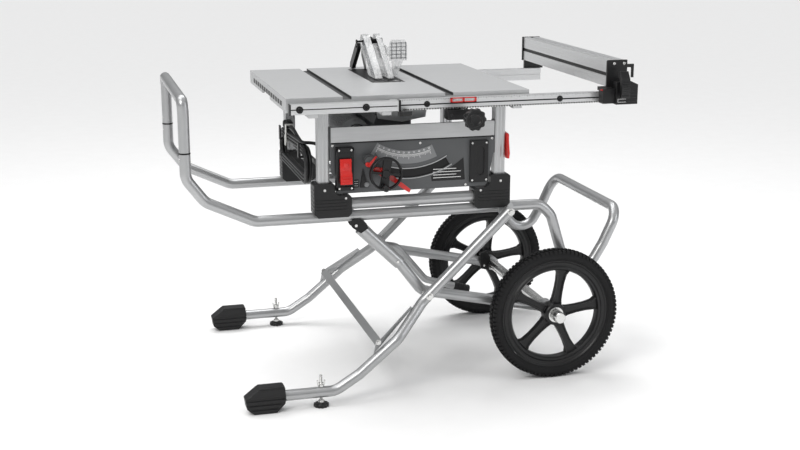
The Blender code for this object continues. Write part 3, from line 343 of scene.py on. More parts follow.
class Shape:
    """A mesh that grows by closed solids and then becomes one piece of the saw."""

    def __init__(self):
        self.bm = bmesh.new()

    def loft(self, rings, cyclic=False):
        """A closed solid through rings of points that all have the same count."""
        loops = [[self.bm.verts.new(p) for p in ring] for ring in rings]
        count = len(loops[0])
        pairs = list(zip(loops, loops[1:]))
        if cyclic:
            pairs.append((loops[-1], loops[0]))
        for a, b in pairs:
            for i in range(count):
                j = (i + 1) % count
                self.bm.faces.new((a[i], a[j], b[j], b[i]))
        if not cyclic:
            self.bm.faces.new(loops[0])
            self.bm.faces.new(loops[-1])
        return self

    def prism(self, outline, axis, start, end):
        return self.loft([[place(axis, u, v, w) for u, v in outline] for w in (start, end)])

    def box(self, x, y, z):
        return self.prism(((x[0], y[0]), (x[1], y[0]), (x[1], y[1]), (x[0], y[1])), "Z", z[0], z[1])

    def border(self, x, y, z, width, height):
        """A rectangular frame that faces the front."""
        for xs, zs in (((x[0], x[0] + width), z), ((x[1] - width, x[1]), z), (x, (z[0], z[0] + height)),
                       (x, (z[1] - height, z[1]))):
            self.box(xs, y, zs)
        return self

    def rod(self, axis, centre, radius, start, end, sides=32):
        return self.prism(ring_points(centre, radius, sides), axis, start, end)

    def turn(self, axis, centre, profile, steps=48):
        """A closed (radius, along) profile turned round an axis."""
        rings = []
        for i in range(steps):
            angle = math.tau * i / steps
            c, s = math.cos(angle), math.sin(angle)
            rings.append([place(axis, centre[0] + r * c, centre[1] + r * s, w) for r, w in profile])
        return self.loft(rings, True)

    def spun(self, axis, centre, profile, steps=48):
        """A solid whose (radius, along) profile runs from its axis back to its axis."""
        rings = [[place(axis, u, v, w) for u, v in ring_points(centre, max(r, 0.1), steps)] for r,
                 w in profile]
        return self.loft(rings)

    def tube(self, path, radius, sides=24):
        """A round bar along a path, with flat ends."""
        points = [Vector(p) for p in path]
        ahead = (points[1] - points[0]).normalized()
        side = ahead.orthogonal().normalized()
        rings = []
        for i, point in enumerate(points):
            before = points[max(i - 1, 0)]
            after = points[min(i + 1, len(points) - 1)]
            along = (after - before).normalized()
            side = (side - along * side.dot(along)).normalized()
            other = along.cross(side)
            rings.append([point + radius * (side * math.cos(a) + other * math.sin(a))
                          for a in (math.tau * k / sides for k in range(sides))])
        return self.loft(rings)

    def digits(self, text, height, at, turn=0):
        """Raised figures that face the front, centred on a point and turned about it."""
        curve = bpy.data.curves.new("figures", "FONT")
        curve.body = text
        curve.size = height
        curve.extrude = 0.2
        curve.align_x = "CENTER"
        curve.align_y = "CENTER"
        words = bpy.data.objects.new("figures", curve)
        flat = bpy.data.meshes.new_from_object(words)
        flat.transform(Matrix.Translation(at) @ Matrix.Rotation(turn, 4, "Y") @ Matrix.Rotation(math.pi / 2,
                4, "X"))
        self.bm.from_mesh(flat)
        bpy.data.objects.remove(words)
        bpy.data.meshes.remove(flat)
        bpy.data.curves.remove(curve)
        return self

    def bolt(self, axis, centre, face, outward, radius=6, hexagonal=True, washer=True):
        """A washer and a head on a face; outward is +1 or -1 along the axis."""
        if washer:
            self.rod(axis, centre, radius * 1.45, face, face + outward * 1.5)
            face += outward * 1.5
        if hexagonal:
            return self.prism(ring_points(centre, radius, 6), axis, face, face + outward * radius * 0.7)
        rise = radius * 0.5 * outward
        profile = ((0, 0), (1, 0), (1, 0.4), (0.8, 1), (0.45, 1), (0.42, 0.3), (0, 0.3))
        return self.spun(axis, centre, [(radius * r, face + rise * h) for r, h in profile], 24)

    def screw(self, axis, centre, face, outward, radius):
        """A bare round head with a driver recess."""
        return self.bolt(axis, centre, face, outward, radius, hexagonal=False, washer=False)

    def piece(self, name, look, replaced=None, body=ROOT, bevel=0, slot=None):
        """Finishes the mesh and sets it on its body in place of the node it stands for."""
        bm = self.bm
        bmesh.ops.recalc_face_normals(bm, faces=bm.faces)
        for face in bm.faces:
            face.smooth = True
        for edge in bm.edges:
            edge.smooth = len(edge.link_faces) == 2 and edge.calc_face_angle(0) < math.radians(35)
        mesh = bpy.data.meshes.new(name)
        bm.to_mesh(mesh)
        bm.free()
        mesh.transform(Matrix.Translation(ORIGIN) @ Matrix.Scale(MM, 4))
        mesh.materials.append(look)
        made = add_object(name, mesh)
        if bevel:
            step = made.modifiers.new("soft_edges", "BEVEL")
            step.width = bevel * MM
            step.segments = 2
            step.limit_method = "ANGLE"
            step.angle_limit = math.radians(38)
            step.harden_normals = True
        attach(made, body)
        if replaced:
            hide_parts(replaced)
        return made


def dress(look, *nodes):
    """Gives CAD nodes a finished material."""
    for node in nodes:
        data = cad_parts[node].data
        data.materials.clear()
        data.materials.append(look)


# ---- stand tubes
def hoop(name, replaced, half):
    """A bent tube that crosses from one side of the saw to the other, from its front half."""
    back = [(x, -y, z) for x, y, z in reversed(half)]
    Shape().tube(rounded(half + back, 55), TUBE_R, 32).piece(name, SILVER, replaced)


def build_frame_tubes():
    y = -SIDE_Y
    hoop("frame_tube", "stand_frame_loop", [(-277, y, 741), (-277, y, 668), (-225, y, 598), (-85, y, 533),
            (786, y, 533), (822, y, 495), (858, y, 378), (905, y, 324), (958, y, 332), (996, y, 395),
            (1044.8, y, 500)])
    hoop("left_handle_tube", "left_handle", [(-277, y, 741.3), (-277, y, 860), (-279, y, 889)])
    for side, sign in SIDES:
        y = sign * SIDE_Y
        node = f"base_tube_{side}"
        Shape().rod("X", (y, 570), 17, *span(node)[0], 40).piece(f"base_tube_skin_{side}", SILVER, node)
        buttons = Shape()
        for z in (722, 760):
            buttons.spun("X", (y, z), ((0, -293.5), (4, -293.5), (4.5, -291.5), (4.5, -280), (0, -280)), 20)
        buttons.piece(f"spring_buttons_{side}", ZINC)
        profile = ((15, 739.5), (16.4, 739), (16.8, 741.3), (16.4, 743.6), (15, 743.1))
        Shape().turn("Z", (-277, y), profile, 40).piece(f"handle_seam_{side}", BLACK_COAT_AND_SHADE)


def leg_path(sign):
    points = [(-118, sign * FOOT_Y, 43), (118, sign * FOOT_Y, 43), (190, sign * FOOT_Y, 87),
              (306, sign * FOOT_Y, 184), (400, sign * OUTER_Y, 270), (PIVOT_Q[0], sign * OUTER_Y,
            PIVOT_Q[1])]
    return rounded(points, 60)


def build_outer_legs():
    for side, sign in SIDES:
        leg = Shape().tube(leg_path(sign), TUBE_R, 32)
        leg.piece(f"outer_leg_tube_{side}", SILVER, f"outer_leg_{side}", "outer_legs")
        fittings = Shape()
        for pivot in (PIVOT_P, PIVOT_Q):
            fittings.bolt("Y", pivot, sign * (OUTER_Y + TUBE_R - 1), sign, 7.5)
        fittings.rod("Y", PIVOT_P, 10.5, sign * (SIDE_Y + TUBE_R + 1.5), sign * (OUTER_Y - TUBE_R + 2))
        fittings.bolt("Y", (246.1, 179.5), sign * 387.5, sign, 5.5)
        fittings.piece(f"leg_bolts_{side}", ZINC, body="outer_legs", bevel=0.4)
        build_boot(side, sign)
        build_leveller(side, sign)
    dress(SILVER, "outer_leg_brace")


def build_boot(side, sign):
    """A moulded rubber boot: sloping nose and heel, long grip ribs and a collar round the tube."""
    y = sign * FOOT_Y
    (x0, x1), _, (z0, z1) = span(f"foot_boot_{side}")
    boot = Shape()
    boot.prism(((x0 + 1, 46), (x0 + 5, 18), (x0 + 26, z0), (-58, z0), (-33, 26), (-33, z1 - 4),
                (-38, z1 - 1), (x0 + 42, z1 - 1)), "Y", y - 20.5, y + 20.5)
    for way in (-1, 1):
        for i in range(3):
            low = z0 + 4 + 14 * i
            left, right = x0 + 22 - 8 * i, -60 + 12 * i
            boot.prism(((left, low), (right, low), (right + 6, low + 8.5), (left - 5, low + 8.5)), "Y",
                       y + way * 19.5, y + way * 24)
        boot.prism(((x0 + 8, 50), (-34, 50), (-34, 72), (x0 + 36, 72)), "Y", y + way * 19.5, y + way * 23)
    boot.box((-104, -40), (y - 13, y + 13), (z1 - 2.5, z1 - 0.1))
    boot.turn("X", (y, 43), ((16.5, -34), (22.5, -34), (22.5, x1 - 1), (19.5, x1), (16.5, x1)), 40)
    boot.piece(f"boot_{side}", RUBBER, f"foot_boot_{side}", "outer_legs", bevel=2.8)


def build_leveller(side, sign):
    """A scalloped levelling disc with its threaded stud and a wing nut above the tube."""
    body = f"leveller_{side}"
    centre = x, y = (75, sign * FOOT_Y)
    disc = Shape()
    disc.prism(ring_points(centre, lambda angle: 21.8 + 1.1 * math.cos(12 * angle), 72), "Z", 0.2, 8.5)
    disc.spun("Z", centre, ((0, 8), (19, 8), (17.5, 10.5), (0, 10.5)))
    disc.piece(f"leveller_disc_{side}", BLACK, body, body, bevel=0.8)
    stud = Shape().rod("Z", centre, 9.5, 10.4, 18, 6)
    stud.rod("Z", centre, 6.5, 17.8, 20, 24)
    profile = [(0, 19), (4.2, 19)]
    for z in steps(20, 1.5, 50):
        profile += [(4.2, z), (3.5, z + 0.75)]
    profile += [(4.2, 95), (0, 95)]
    stud.spun("Z", centre, profile, 20)
    stud.piece(f"leveller_stud_{side}", ZINC, body=body)
    nut = Shape().rod("Z", centre, 8.5, 59.8, 68, 6)
    nut.rod("Z", centre, 6.5, 68, 72, 24)
    for way in (-1, 1):
        nut.prism(((x + way * 4, 62.5), (x + way * 10, 62.5), (x + way * 13, 79), (x + way * 8.5, 80)), "Y",
                  y - 2, y + 2)
    nut.piece(f"wing_nut_{side}", ZINC, body="outer_legs", bevel=0.6)


def build_inner_legs():
    y = SIDE_Y
    legs = Shape()
    dark = Shape()
    bolts = Shape()
    for _, sign in SIDES:
        side_y = sign * y
        bend = [(300, side_y, 421), (345, side_y, 377), (412, side_y, 288), (792.5, side_y, 207)]
        legs.tube(rounded(bend, 50), TUBE_R, 32)
        legs.tube([(223.5, side_y, 494.5), (343.5, side_y, 378.5)], 19.5, 36)
        legs.rod("Y", HUB, 23.5, side_y - 16, side_y + 16, 40)
        build_yoke(dark, bolts, side_y, sign)
        bolts.bolt("Y", (333, 388), side_y + sign * 19, sign, 4.5, washer=False)
    legs.rod("Y", PEDAL_PIVOT, 11, -y, y, 28)
    clamp = ((770, 190), (801, 182), (805, 228), (790, 252), (768, 244))
    for way in (-1, 1):
        dark.prism(clamp, "Y", y + way * 17.5, y + way * 24)
    dark.box((775, 795), (y - 18, y + 18), (229, 242))
    bolts.bolt("Y", (782, 200), y - 24, -1, 4, washer=False)
    legs.piece("inner_leg_tubes", SILVER, "inner_leg_frame", "inner_legs", bevel=1)
    dark.piece("inner_leg_yokes", BLACK_COAT_AND_SHADE, body="inner_legs", bevel=0.8)
    bolts.piece("inner_leg_bolts", ZINC, body="inner_legs", bevel=0.4)
    dress(ZINC, "wheel_axle")


def build_yoke(dark, bolts, side_y, sign):
    """A pressed bracket that holds the leg's upper end and its roller under the frame tube."""
    cheek = ((192, 508), (197, 500), (222, 482), (244, 496), (238, 512), (222, 526), (197, 526), (190, 518))
    roller = (207, 507)
    for way in (-1, 1):
        dark.prism(cheek, "Y", side_y + way * 17.2, side_y + way * 20)
    dark.spun("Y", roller, mirrored(((0, side_y - 16.8), (8.5, side_y - 16.8), (7, side_y - 6)), side_y),
              32)
    dark.box((214, 236), (side_y - 16.8, side_y + 16.8), (487, 503))
    bolts.bolt("Y", roller, side_y + sign * 20, sign, 4.8, washer=False)


def build_pedal():
    x, z = PEDAL_PIVOT
    pedal = Shape()
    pedal.turn("Y", PEDAL_PIVOT, mirrored(((11.3, -18), (17, -18), (17.5, -17))), 40)
    pedal.tube(rounded([(x + 10, 0, z - 12), (404, 0, 357), (499, 0, 241), (600, 0, 210)], 35), 11.5, 28)
    pedal.piece("pedal_bar_tube", SILVER, "release_pedal", "release_pedal", bevel=0.6)
    low = Vector((596, 0, 211.2))
    run = (Vector((648, 0, 195)) - low).normalized()
    grip = Shape().tube([low, low + run * 53.5], 13, 32)
    for along in steps(4, 8.5, 6):
        grip.tube([low + run * along, low + run * (along + 4.5)], 14.5, 32)
    grip.piece("pedal_grip_sleeve", RUBBER, body="release_pedal", bevel=1)


def build_upper_brackets():
    """Clevis plates under the frame tube that carry the outer legs' upper pivots."""
    outline = ((646, 516), (690, 516), (692, 540), (684, 551.5), (652, 551.5), (644, 540))
    tube_side = SIDE_Y + TUBE_R
    for side, sign in SIDES:
        plates = Shape()
        plates.prism(outline, "Y", sign * (tube_side + 0.4), sign * (tube_side + 3.4))
        plates.rod("Y", PIVOT_Q, 9.5, sign * (tube_side + 3), sign * (OUTER_Y - TUBE_R - 0.4))
        plates.piece(f"pivot_bracket_{side}", SILVER, bevel=0.8)
        bolts = Shape()
        for x in (182, 598):
            bolts.bolt("Y", (x, 570), sign * (SIDE_Y + 16.5), sign, 4.5, washer=False)
        bolts.piece(f"base_bolts_{side}", ZINC, bevel=0.4)


# ---- wheels
def build_wheels():
    for side, sign in SIDES:
        build_tyre(side, sign * WHEEL_Y)
        build_rim(side, sign * WHEEL_Y, sign)


def build_tyre(side, y):
    """A rounded casing with moulded side bands and staggered shoulder and crown blocks."""
    tyre = Shape()
    half = ((170, -16.5), (174.5, -18.5), (176, -20.5), (177.5, -20.5), (179, -21.5), (186, -22.5),
            (192.5, -20.5), (196.5, -16), (198.5, -8))
    half = [(r, y + w) for r, w in half]
    tyre.turn("Y", HUB, [*half, (199, y), *mirrored(half, y)[len(half):]], 120)
    rows = ((-22.2, -11, 190.5, 200.2), (-8.5, -1, 196, 202.9), (1, 8.5, 196, 202.9),
            (11, 22.2, 190.5, 200.2))
    for i in range(TREAD_COUNT):
        for row, (low, high, r0, r1) in enumerate(rows):
            tread_block(tyre, y, math.tau * (i + 0.5 * (row % 2)) / TREAD_COUNT, low, high, r0, r1)
    tyre.piece(f"tyre_{side}", TYRE, f"wheel_tyre_{side}", f"wheel_{side}")


def tread_block(tyre, y, angle, low, high, r0, r1):
    half = math.radians(1.25)
    rings = []
    for a in (angle - half, angle + half):
        c, s = math.cos(a), math.sin(a)
        corners = ((r0, low), (r0, high), (r1, high * 0.92), (r1, low * 0.92))
        rings.append([(HUB[0] + r * c, y + w, HUB[1] + r * s) for r, w in corners])
    tyre.loft(rings)


def build_rim(side, y, sign):
    """A moulded five-spoke rim with rolled lips, ribbed spokes, a boss and a bright hub cap."""
    rim = Shape()
    lips = ((137.5, 10), (142, 16.5), (148, 16.5), (153, 12.5), (162, 12.5), (166, 16.5), (169.2, 16.5))
    boss = ((13, 21), (30, 21), (33.5, 18), (35, 12))
    for half, sides in ((lips, 120), (boss, 64)):
        rim.turn("Y", HUB, mirrored([(r, y - w) for r, w in half], y), sides)
    for degrees in steps(80, 72, 5):
        spoke(rim, y, math.radians(degrees))
    rim.piece(f"rim_{side}", BLACK, f"wheel_rim_{side}", f"wheel_{side}", bevel=0.9)
    face = y + sign * 21.2
    cap = Shape().spun("Y", HUB, ((13, face), (24, face), (23.5, face + sign * 2), (13, face + sign * 2)),
                       48)
    cap.piece(f"hub_washer_{side}", ZINC, body=f"wheel_{side}", bevel=0.3)


def spoke(rim, y, angle):
    """One tapering spoke: a web with a raised rib along each edge."""
    along = Vector((math.cos(angle), 0, math.sin(angle)))
    across = Vector((-math.sin(angle), 0, math.cos(angle)))
    centre = Vector((HUB[0], y, HUB[1]))
    stations = ((30, 16.5), (45, 13), (70, 11.2), (100, 11.2), (125, 14), (140.5, 23.5))

    def section(distance, low, high, half):
        return [centre + along * distance + across * a + Vector((0, b, 0)) for a,
                b in ((low, -half), (high, -half), (high, half), (low, half))]
    rim.loft([section(r, -w, w, 7) for r, w in stations])
    rim.loft([section(r, -w, -w + 4.2, 12.5) for r, w in stations])
    rim.loft([section(r, w - 4.2, w, 12.5) for r, w in stations])


# ---- table and throat
def build_table():
    dress(CAST, "table_top")
    dress(BLACK_COAT_AND_SHADE, "throat_insert")
    ribs = Shape()
    for x in (60, 110, 525, 580, 640):
        ribs.box((x, x + 4), (-318, 318), (862, 881.8))
    for y in (-200, -100, 100, 200):
        ribs.box((8, 190), (y, y + 4), (866, 881.8))
        ribs.box((460, 709), (y, y + 4), (866, 881.8))
    ribs.piece("table_ribs", CASTING)
    # Painted shade: a dark floor and dark walls inside each mitre slot.
    grooves = Shape()
    length = (-325.5, 325.5)
    for low, high in MITRE_SLOTS:
        grooves.box((low + 0.4, high - 0.4), length, (883.5, 884.5))
        for x in (low, high - 0.6):
            grooves.box((x, x + 0.6), length, (884.1, 891.5))
    grooves.piece("mitre_slot_painted_shade", SLOT_SHADE)
    # Painted shade: dark strips on the table's left skirt for the shade inside its slots.
    vents = Shape()
    for y in steps(-262, 40.5, 13):
        vents.box((-0.4, 0.6), (y, y + 29), (863, 876.5))
    vents.piece("skirt_slot_painted_shade", INK_AND_SHADE)
    screws = Shape()
    x, y, (_, top) = span("throat_insert")
    for corner in corners(x, y, 8, 10):
        screws.screw("Z", corner, top - 1.6, 1, 3.6)
    screws.rod("Z", (sum(x) / 2 + 30, y[0] + 30), 9, top - 0.4, top + 0.2)
    screws.piece("throat_screws", ZINC)


# ---- rails
def build_rails():
    dress(EXTRUDED, "front_rail_fixed", "front_rail_slide", "rear_rail_slide")
    (_, x1), (y0, y1), (z0, z1) = span("front_rail_slide")
    shade = Shape().box((332, 990), (y0 - 0.6, y0 + 0.1), (z0 + 0.2, z0 + 4))
    shade.box((296, x1 - 5), (y0 + 1, y0 + 2), (862.2, 865.8))
    shade.piece("rack_and_groove_shade", INK_AND_SHADE, body="front_rail")
    teeth = Shape()
    for x in steps(332, 8, 82):
        teeth.prism(((x, z0 + 0.2), (x + 5.2, z0 + 0.2), (x + 4, z0 + 3.8), (x + 1.2, z0 + 3.8)), "Y",
                    y0 - 1.6, y0 + 0.2)
    teeth.piece("rack_teeth", ZINC, body="front_rail")
    trim = Shape()
    trim.box((x1 - 4, x1 + 0.6), (y0 - 1, y1 + 0.6), (z0 - 0.4, z1 + 0.6))
    trim.piece("rail_end_cap", BLACK, body="front_rail", bevel=0.6)
    studs = Shape()
    for x, z in ((402, 865), (806, 865)):
        studs.bolt("Y", (x, z), y0, -1, 6.2, hexagonal=False)
    studs.piece("rail_bolts", BLACK_COAT_AND_SHADE, body="front_rail", bevel=0.3)
    build_rail_scale(y0)
    fixed = Shape()
    (a0, a1), (b0, b1), (c0, c1) = span("front_rail_fixed")
    line = Shape().box((a0 + 2, a1 - 10), (-370.6, -369.8), (865.7, 868.3))
    line.piece("fixed_rail_groove_shade", INK_AND_SHADE)
    for x in (30, 218):
        fixed.bolt("Y", (x, 867), b0 + 0.6, -1, 7, hexagonal=False)
    fixed.piece("fixed_rail_bolts", BLACK_COAT_AND_SHADE, bevel=0.3)
    cap = Shape().box((a1 - 7, a1 + 0.4), (b0 - 0.4, b1 + 0.2), (c0 - 0.4, c1 + 0.4))
    cap.box((a0 - 1.8, a0 + 3), (b0 + 0.4, b1 - 0.4), (c0 + 0.2, c1 - 0.4))
    cap.piece("fixed_rail_caps", BLACK, bevel=0.8)


def build_rail_scale(y0):
    """The red-framed reading window and the plain graduated strip along the rail."""
    x, z = (471, 549), (866.5, 880.5)
    window = Shape().border(x, (y0 - 4.2, y0 - 0.2), z, 6, 2.8)
    window.box((507, 513), (y0 - 4.2, y0 - 0.2), z)
    window.piece("scale_window_frame", RED, body="front_rail", bevel=0.6)
    pane = Shape().box((x[0] + 4, x[1] - 4), (y0 - 2.6, y0 - 1.6), (z[0] + 2, z[1] - 2))
    pane.piece("scale_window_pane", CLEAR, body="front_rail")
    marks = Shape()
    for i, left in enumerate(steps(330, 5, 130)):
        tall = 5.2 if i % 5 == 0 else 3
        marks.box((left, left + 0.7), (y0 - 0.5, y0 + 0.1), (880 - tall, 880))
    marks.piece("rail_graduations", INK_AND_SHADE, body="front_rail")


def build_rail_drive():
    dress(ZINC, "pinion_shaft")
    dress(BLACK, "rail_lock_lever")
    centre = (514, 831)
    knob = Shape()
    knob.prism(ring_points(centre, lambda angle: 30.5 + 1.8 * math.cos(10 * angle), 120), "Y", -448, -432)
    knob.spun("Y", centre, ((0, -451.5), (11, -452), (14.5, -455), (17.5, -455), (19, -450), (27.5, -450),
                            (28, -447.5), (0, -447.5)), 56)
    knob.spun("Y", centre, ((0, -432.5), (15, -432.5), (12.5, -425.5), (0, -425.5)))
    knob.piece("rail_knob_grip", BLACK, "rail_knob", "rail_drive", bevel=1.4)
    outline = ((461.4, -356.6), (530.6, -356.6), (530.6, -349.7), (480.3, -349.7), (480.3, -325.3),
               (530.6, -325.3), (530.6, -318.2), (461.4, -318.2))
    housing = Shape().prism(outline, "Z", 817.5, 846.5)
    housing.screw("Y", (472, 832), -356.6, -1, 4)
    housing.piece("rack_housing", BLACK, bevel=1)


# ---- rip fence
def build_fence():
    dress(EXTRUDED, "fence_beam")
    dress(BLACK, "fence_rear_cap")
    (x0, x1), (y0, y1), (_, z1) = span("fence_beam")
    faces = Shape()
    for z in (900, 908, 916, 945, 954, 963):
        for x in ((x0 - 0.5, x0 + 0.2), (x1 - 0.2, x1 + 0.5)):
            faces.box(x, (y0, y1), (z, z + 1.2))
    for x in (960, 968, 990, 998.5):
        faces.box((x, x + 1.2), (y0, y1), (z1 - 0.2, z1 + 0.5))
    faces.piece("fence_flutes", EXTRUDED, body="fence")
    groove = Shape().box((954.2, 955), (y0 + 2, y1 - 2), (925.5, 935.5))
    groove.piece("fence_groove_shade", INK_AND_SHADE, body="fence")
    build_fence_head()
    lever = Shape()
    outline = ((-394.8, 943.5), (-404, 946.2), (-418.5, 925), (-422.2, 900), (-422.2, 880), (-417, 868.5),
               (-411.5, 868.5), (-409, 885), (-405.5, 920), (-394.8, 928.5))
    lever.prism(outline, "X", 965.5, 992.5)
    for z in steps(874, 6.2, 7):
        lever.box((969, 989), (-423, -421.2), (z, z + 3))
    lever.piece("fence_latch_grip", BLACK, "fence_latch_lever", "fence_latch", bevel=1.6)


def build_fence_head():
    """The clamp at the fence's front: a screwed plate, a sloping block, a jaw and a thin hook."""
    head = Shape()
    head.prism(((948, 892), (1012, 892), (1012, 973), (951, 973), (948, 970)), "Y", -353, -346)
    head.box((930, 1030), (-356, -328), (883.5, 894.5))
    head.prism(((962, 847.5), (1030, 847.5), (1030, 905), (1001, 918), (962, 914)), "Y", -393.5, -353)
    head.box((924, 962), (-385, -353.5), (850, 893))
    head.box((1012, 1034), (-352, -347), (950, 960))
    head.box((1026, 1034), (-352, -347), (920, 952))
    for z in steps(856, 10, 4):
        head.box((996, 1029), (-394.8, -393), (z, z + 3))
    head.piece("fence_clamp", BLACK, "fence_head", "fence", bevel=1.2)
    screws = Shape()
    for x, z, face, outward in ((970, 962.5, -353, -1), (1001, 962.5, -353, -1), (965, 945, 358, 1),
                                (993, 945, 358, 1)):
        screws.screw("Y", (x, z), face, outward, 4.6)
    screws.piece("fence_screws", ZINC, body="fence", bevel=0.3)
    trim = Shape()
    for x, z in (((967, 968), (854, 864)), ((968, 993), (854, 855)), ((968, 993), (863, 864))):
        trim.box(x, (-394.1, -393), z)
    trim.piece("clamp_label_frame", WHITE, body="fence", slot="black")
    pointer = Shape().prism(((916, 890.5), (925, 893), (925, 887)), "Y", -380, -378)
    pointer.piece("fence_pointer", RED, body="fence")


# ---- body frame
def build_body_frame():
    for end, xc in (("left", 114), ("right", 647)):
        for side, sign in SIDES:
            build_leg(side, end, xc, sign)
            build_foot_detail(side, end, xc, sign)
    for side, sign in SIDES:
        build_cord_hook(side, sign)


def build_cord_hook(side, sign):
    """The J-shaped steel strip on a left upright that carries one end of the wound cord."""
    top = HANK_Z + HANK_INNER - 0.6
    hook = Shape().box((100, 105), (sign * 150, sign * 250), (top - 15.7, top))
    hook.prism(((102, top), (102, top - 5.7), (62, top - 5.7), (62, top + 40), (67, top + 40), (67, top)),
               "Y", sign * 150, sign * 166)
    hook.piece(f"cord_hook_{side}", BLACK_COAT_AND_SHADE, bevel=1)


def fluted(xc, yc, half):
    """A square extrusion outline: rounded corners and two shallow flutes on every face."""
    corner = 4.5
    depth = 0.6
    run = ((-half + corner, 0), (-8.5, 0), (-7.5, depth), (-3.5, depth), (-2.5, 0), (2.5, 0), (3.5, depth),
           (7.5, depth), (8.5, 0), (half - corner, 0), (half - corner * 0.3, corner * 0.3))
    outline = []
    for quarter in range(4):
        angle = quarter * math.pi / 2
        c, s = math.cos(angle), math.sin(angle)
        for u, d in run:
            x, y = u, -half + d
            outline.append((xc + x * c - y * s, yc + x * s + y * c))
    return outline


def build_leg(side, end, xc, sign):
    node = f"saw_leg_{side}_{end}"
    low, high = span(f"saw_leg_{side}_right")[2]
    leg = Shape().prism(fluted(xc, sign * SIDE_Y, 17), "Z", low, high)
    leg.piece(f"upright_{side}_{end}", SHADED_UPRIGHT, node)


def build_foot_detail(side, end, xc, sign):
    """Ribs on the face and on the end, and screws, on a corner moulding."""
    node = f"corner_foot_{side}_{end}"
    dress(BLACK, node)
    (x0, x1), y, _ = span(node)
    inward = 1 if end == "left" else -1
    across = (x0 + 4, x1 - 12) if inward > 0 else (x0 + 12, x1 - 4)
    face = y[0] if sign < 0 else y[1]
    outer = x0 if inward > 0 else x1
    ribs = Shape()
    for z in steps(556, 9.5, 4):
        ribs.box(across, (face + sign * 1.6, face - sign), (z, z + 4.2))
    for z in steps(556, 12, 6):
        ribs.box((outer - inward * 1.4, outer + inward), (y[0] + 6, y[1] - 6), (z, z + 4.5))
    ribs.piece(f"foot_ribs_{side}_{end}", BLACK, bevel=0.8)
    screw = Shape().screw("Y", (xc, 618), face, sign, 4.6)
    screw.screw("Y", (xc + inward * 62, 592), face, sign, 4)
    screw.piece(f"foot_screws_{side}_{end}", ZINC)


# ---- front panel
def about_tilt(angle_deg, radius):
    """A point that hangs from the bevel axis, by its angle from straight down."""
    angle = math.radians(angle_deg)
    return (TILT_X + radius * math.sin(angle), TABLE_Z - radius * math.cos(angle))


def arc_band(shape, inner, outer, first, last, start, end, steps=40):
    outline = [about_tilt(first + (last - first) * i / steps, inner) for i in range(steps + 1)]
    outline += [about_tilt(last - (last - first) * i / steps, outer) for i in range(steps + 1)]
    shape.prism(outline, "Y", start, end)


def build_front_panel():
    dress(PANEL, "front_panel")
    dress(BLACK, "storage_cover")
    face = PANEL_FACE
    band = Shape().box((134.5, 626.5), (-286.2, -285), (754.8, 798.8))
    band.piece("panel_band_face", BAND, bevel=0.6)
    edge = Shape().box((134.5, 626.5), (-286.8, -282.2), (751.5, 754.5))
    edge.piece("panel_band_lip", BLACK_COAT_AND_SHADE, bevel=0.6)
    build_bevel_scale(face)
    outline = [about_tilt(angle, 260) for angle in steps(15, 2.5, 11)] + [(538, 626), (436, 626)]
    labels = Shape().prism(outline, "Y", face - 0.7, face + 0.2)
    labels.box((199.5, 216), (face - 0.7, face + 0.2), (620, 644))
    labels.prism(((228.5, 676), (243, 620), (219, 620)), "Y", face - 6, face + 0.2)
    labels.piece("panel_fittings", BLACK, bevel=0.5)
    profile = ((0, face - 9.5), (6, face - 9), (7.5, face - 7), (7.5, face - 5.5), (0, face - 5.5))
    Shape().spun("Y", (238.5, 628.5), profile, 32).piece("panel_fitting_cap", SCALE)
    marks = Shape()
    for z in steps(625, 6.5, 3):
        marks.box((201.5, 214), (face - 1, face - 0.5), (z, z + 0.8))
    for z, right in zip(steps(635, 8.5, 4), (525, 511, 525, 511)):
        marks.box((440, right), (face - 1, face - 0.5), (z, z + 1.6))
    marks.piece("blank_label_rules", WHITE)
    screws = Shape()
    for centre in ((140, 746), (620, 746), (540, 611), (400, 742)):
        screws.screw("Y", centre, face, -1, 4.4)
    for node, inset, sunk in (("switch_box", 8, 0.8), ("storage_cover", 6, 0)):
        x, (front, _), z = span(node)
        for centre in corners(x, z, inset, 7):
            screws.screw("Y", centre, front - sunk, -1, 3.6)
    screws.piece("panel_screws", ZINC)
    build_switch()


def build_bevel_scale(face):
    """The graduated arc over the tilt slot, the slot's rims, and a dark plate that moves behind it as
    painted shade seen through the slot.
    """
    plate = Shape()
    arc_band(plate, 172, 210, -33, 24, face - 1, face + 0.2)
    plate.piece("bevel_scale_plate", SCALE)
    ticks = Shape()
    for degree in range(51):
        angle = degree - 30
        tall = 13 if degree % 10 == 0 else (9 if degree % 5 == 0 else 6)
        arc_band(ticks, 184, 184 + tall, angle - 0.12, angle + 0.12, face - 1.4, face - 0.8, 1)
    arc_band(ticks, 183, 183.8, -31, 21, face - 1.4, face - 0.8)
    for degree in range(0, 51, 5):
        x, z = about_tilt(degree - 30, 177.5)
        ticks.digits(str(degree), 7.2, (x, face - 1.2, z), math.radians(30 - degree))
    ticks.piece("bevel_scale_ticks", WHITE)
    rims = Shape()
    arc_band(rims, 222.5, 225, -25, 31, face - 2.4, face + 0.2)
    arc_band(rims, 252.5, 255, -24, 31, face - 2.4, face + 0.2)
    rims.piece("bevel_slot_rims", BAND, bevel=0.5)
    # Painted shade: a dark plate behind the tilt slot that shows through it.
    cover = Shape()
    arc_band(cover, 214, 264, -42, 31, -277.8, -276.8)
    cover.piece("bevel_slot_painted_shade", BLACK_COAT_AND_SHADE, body="bevel_cradle")


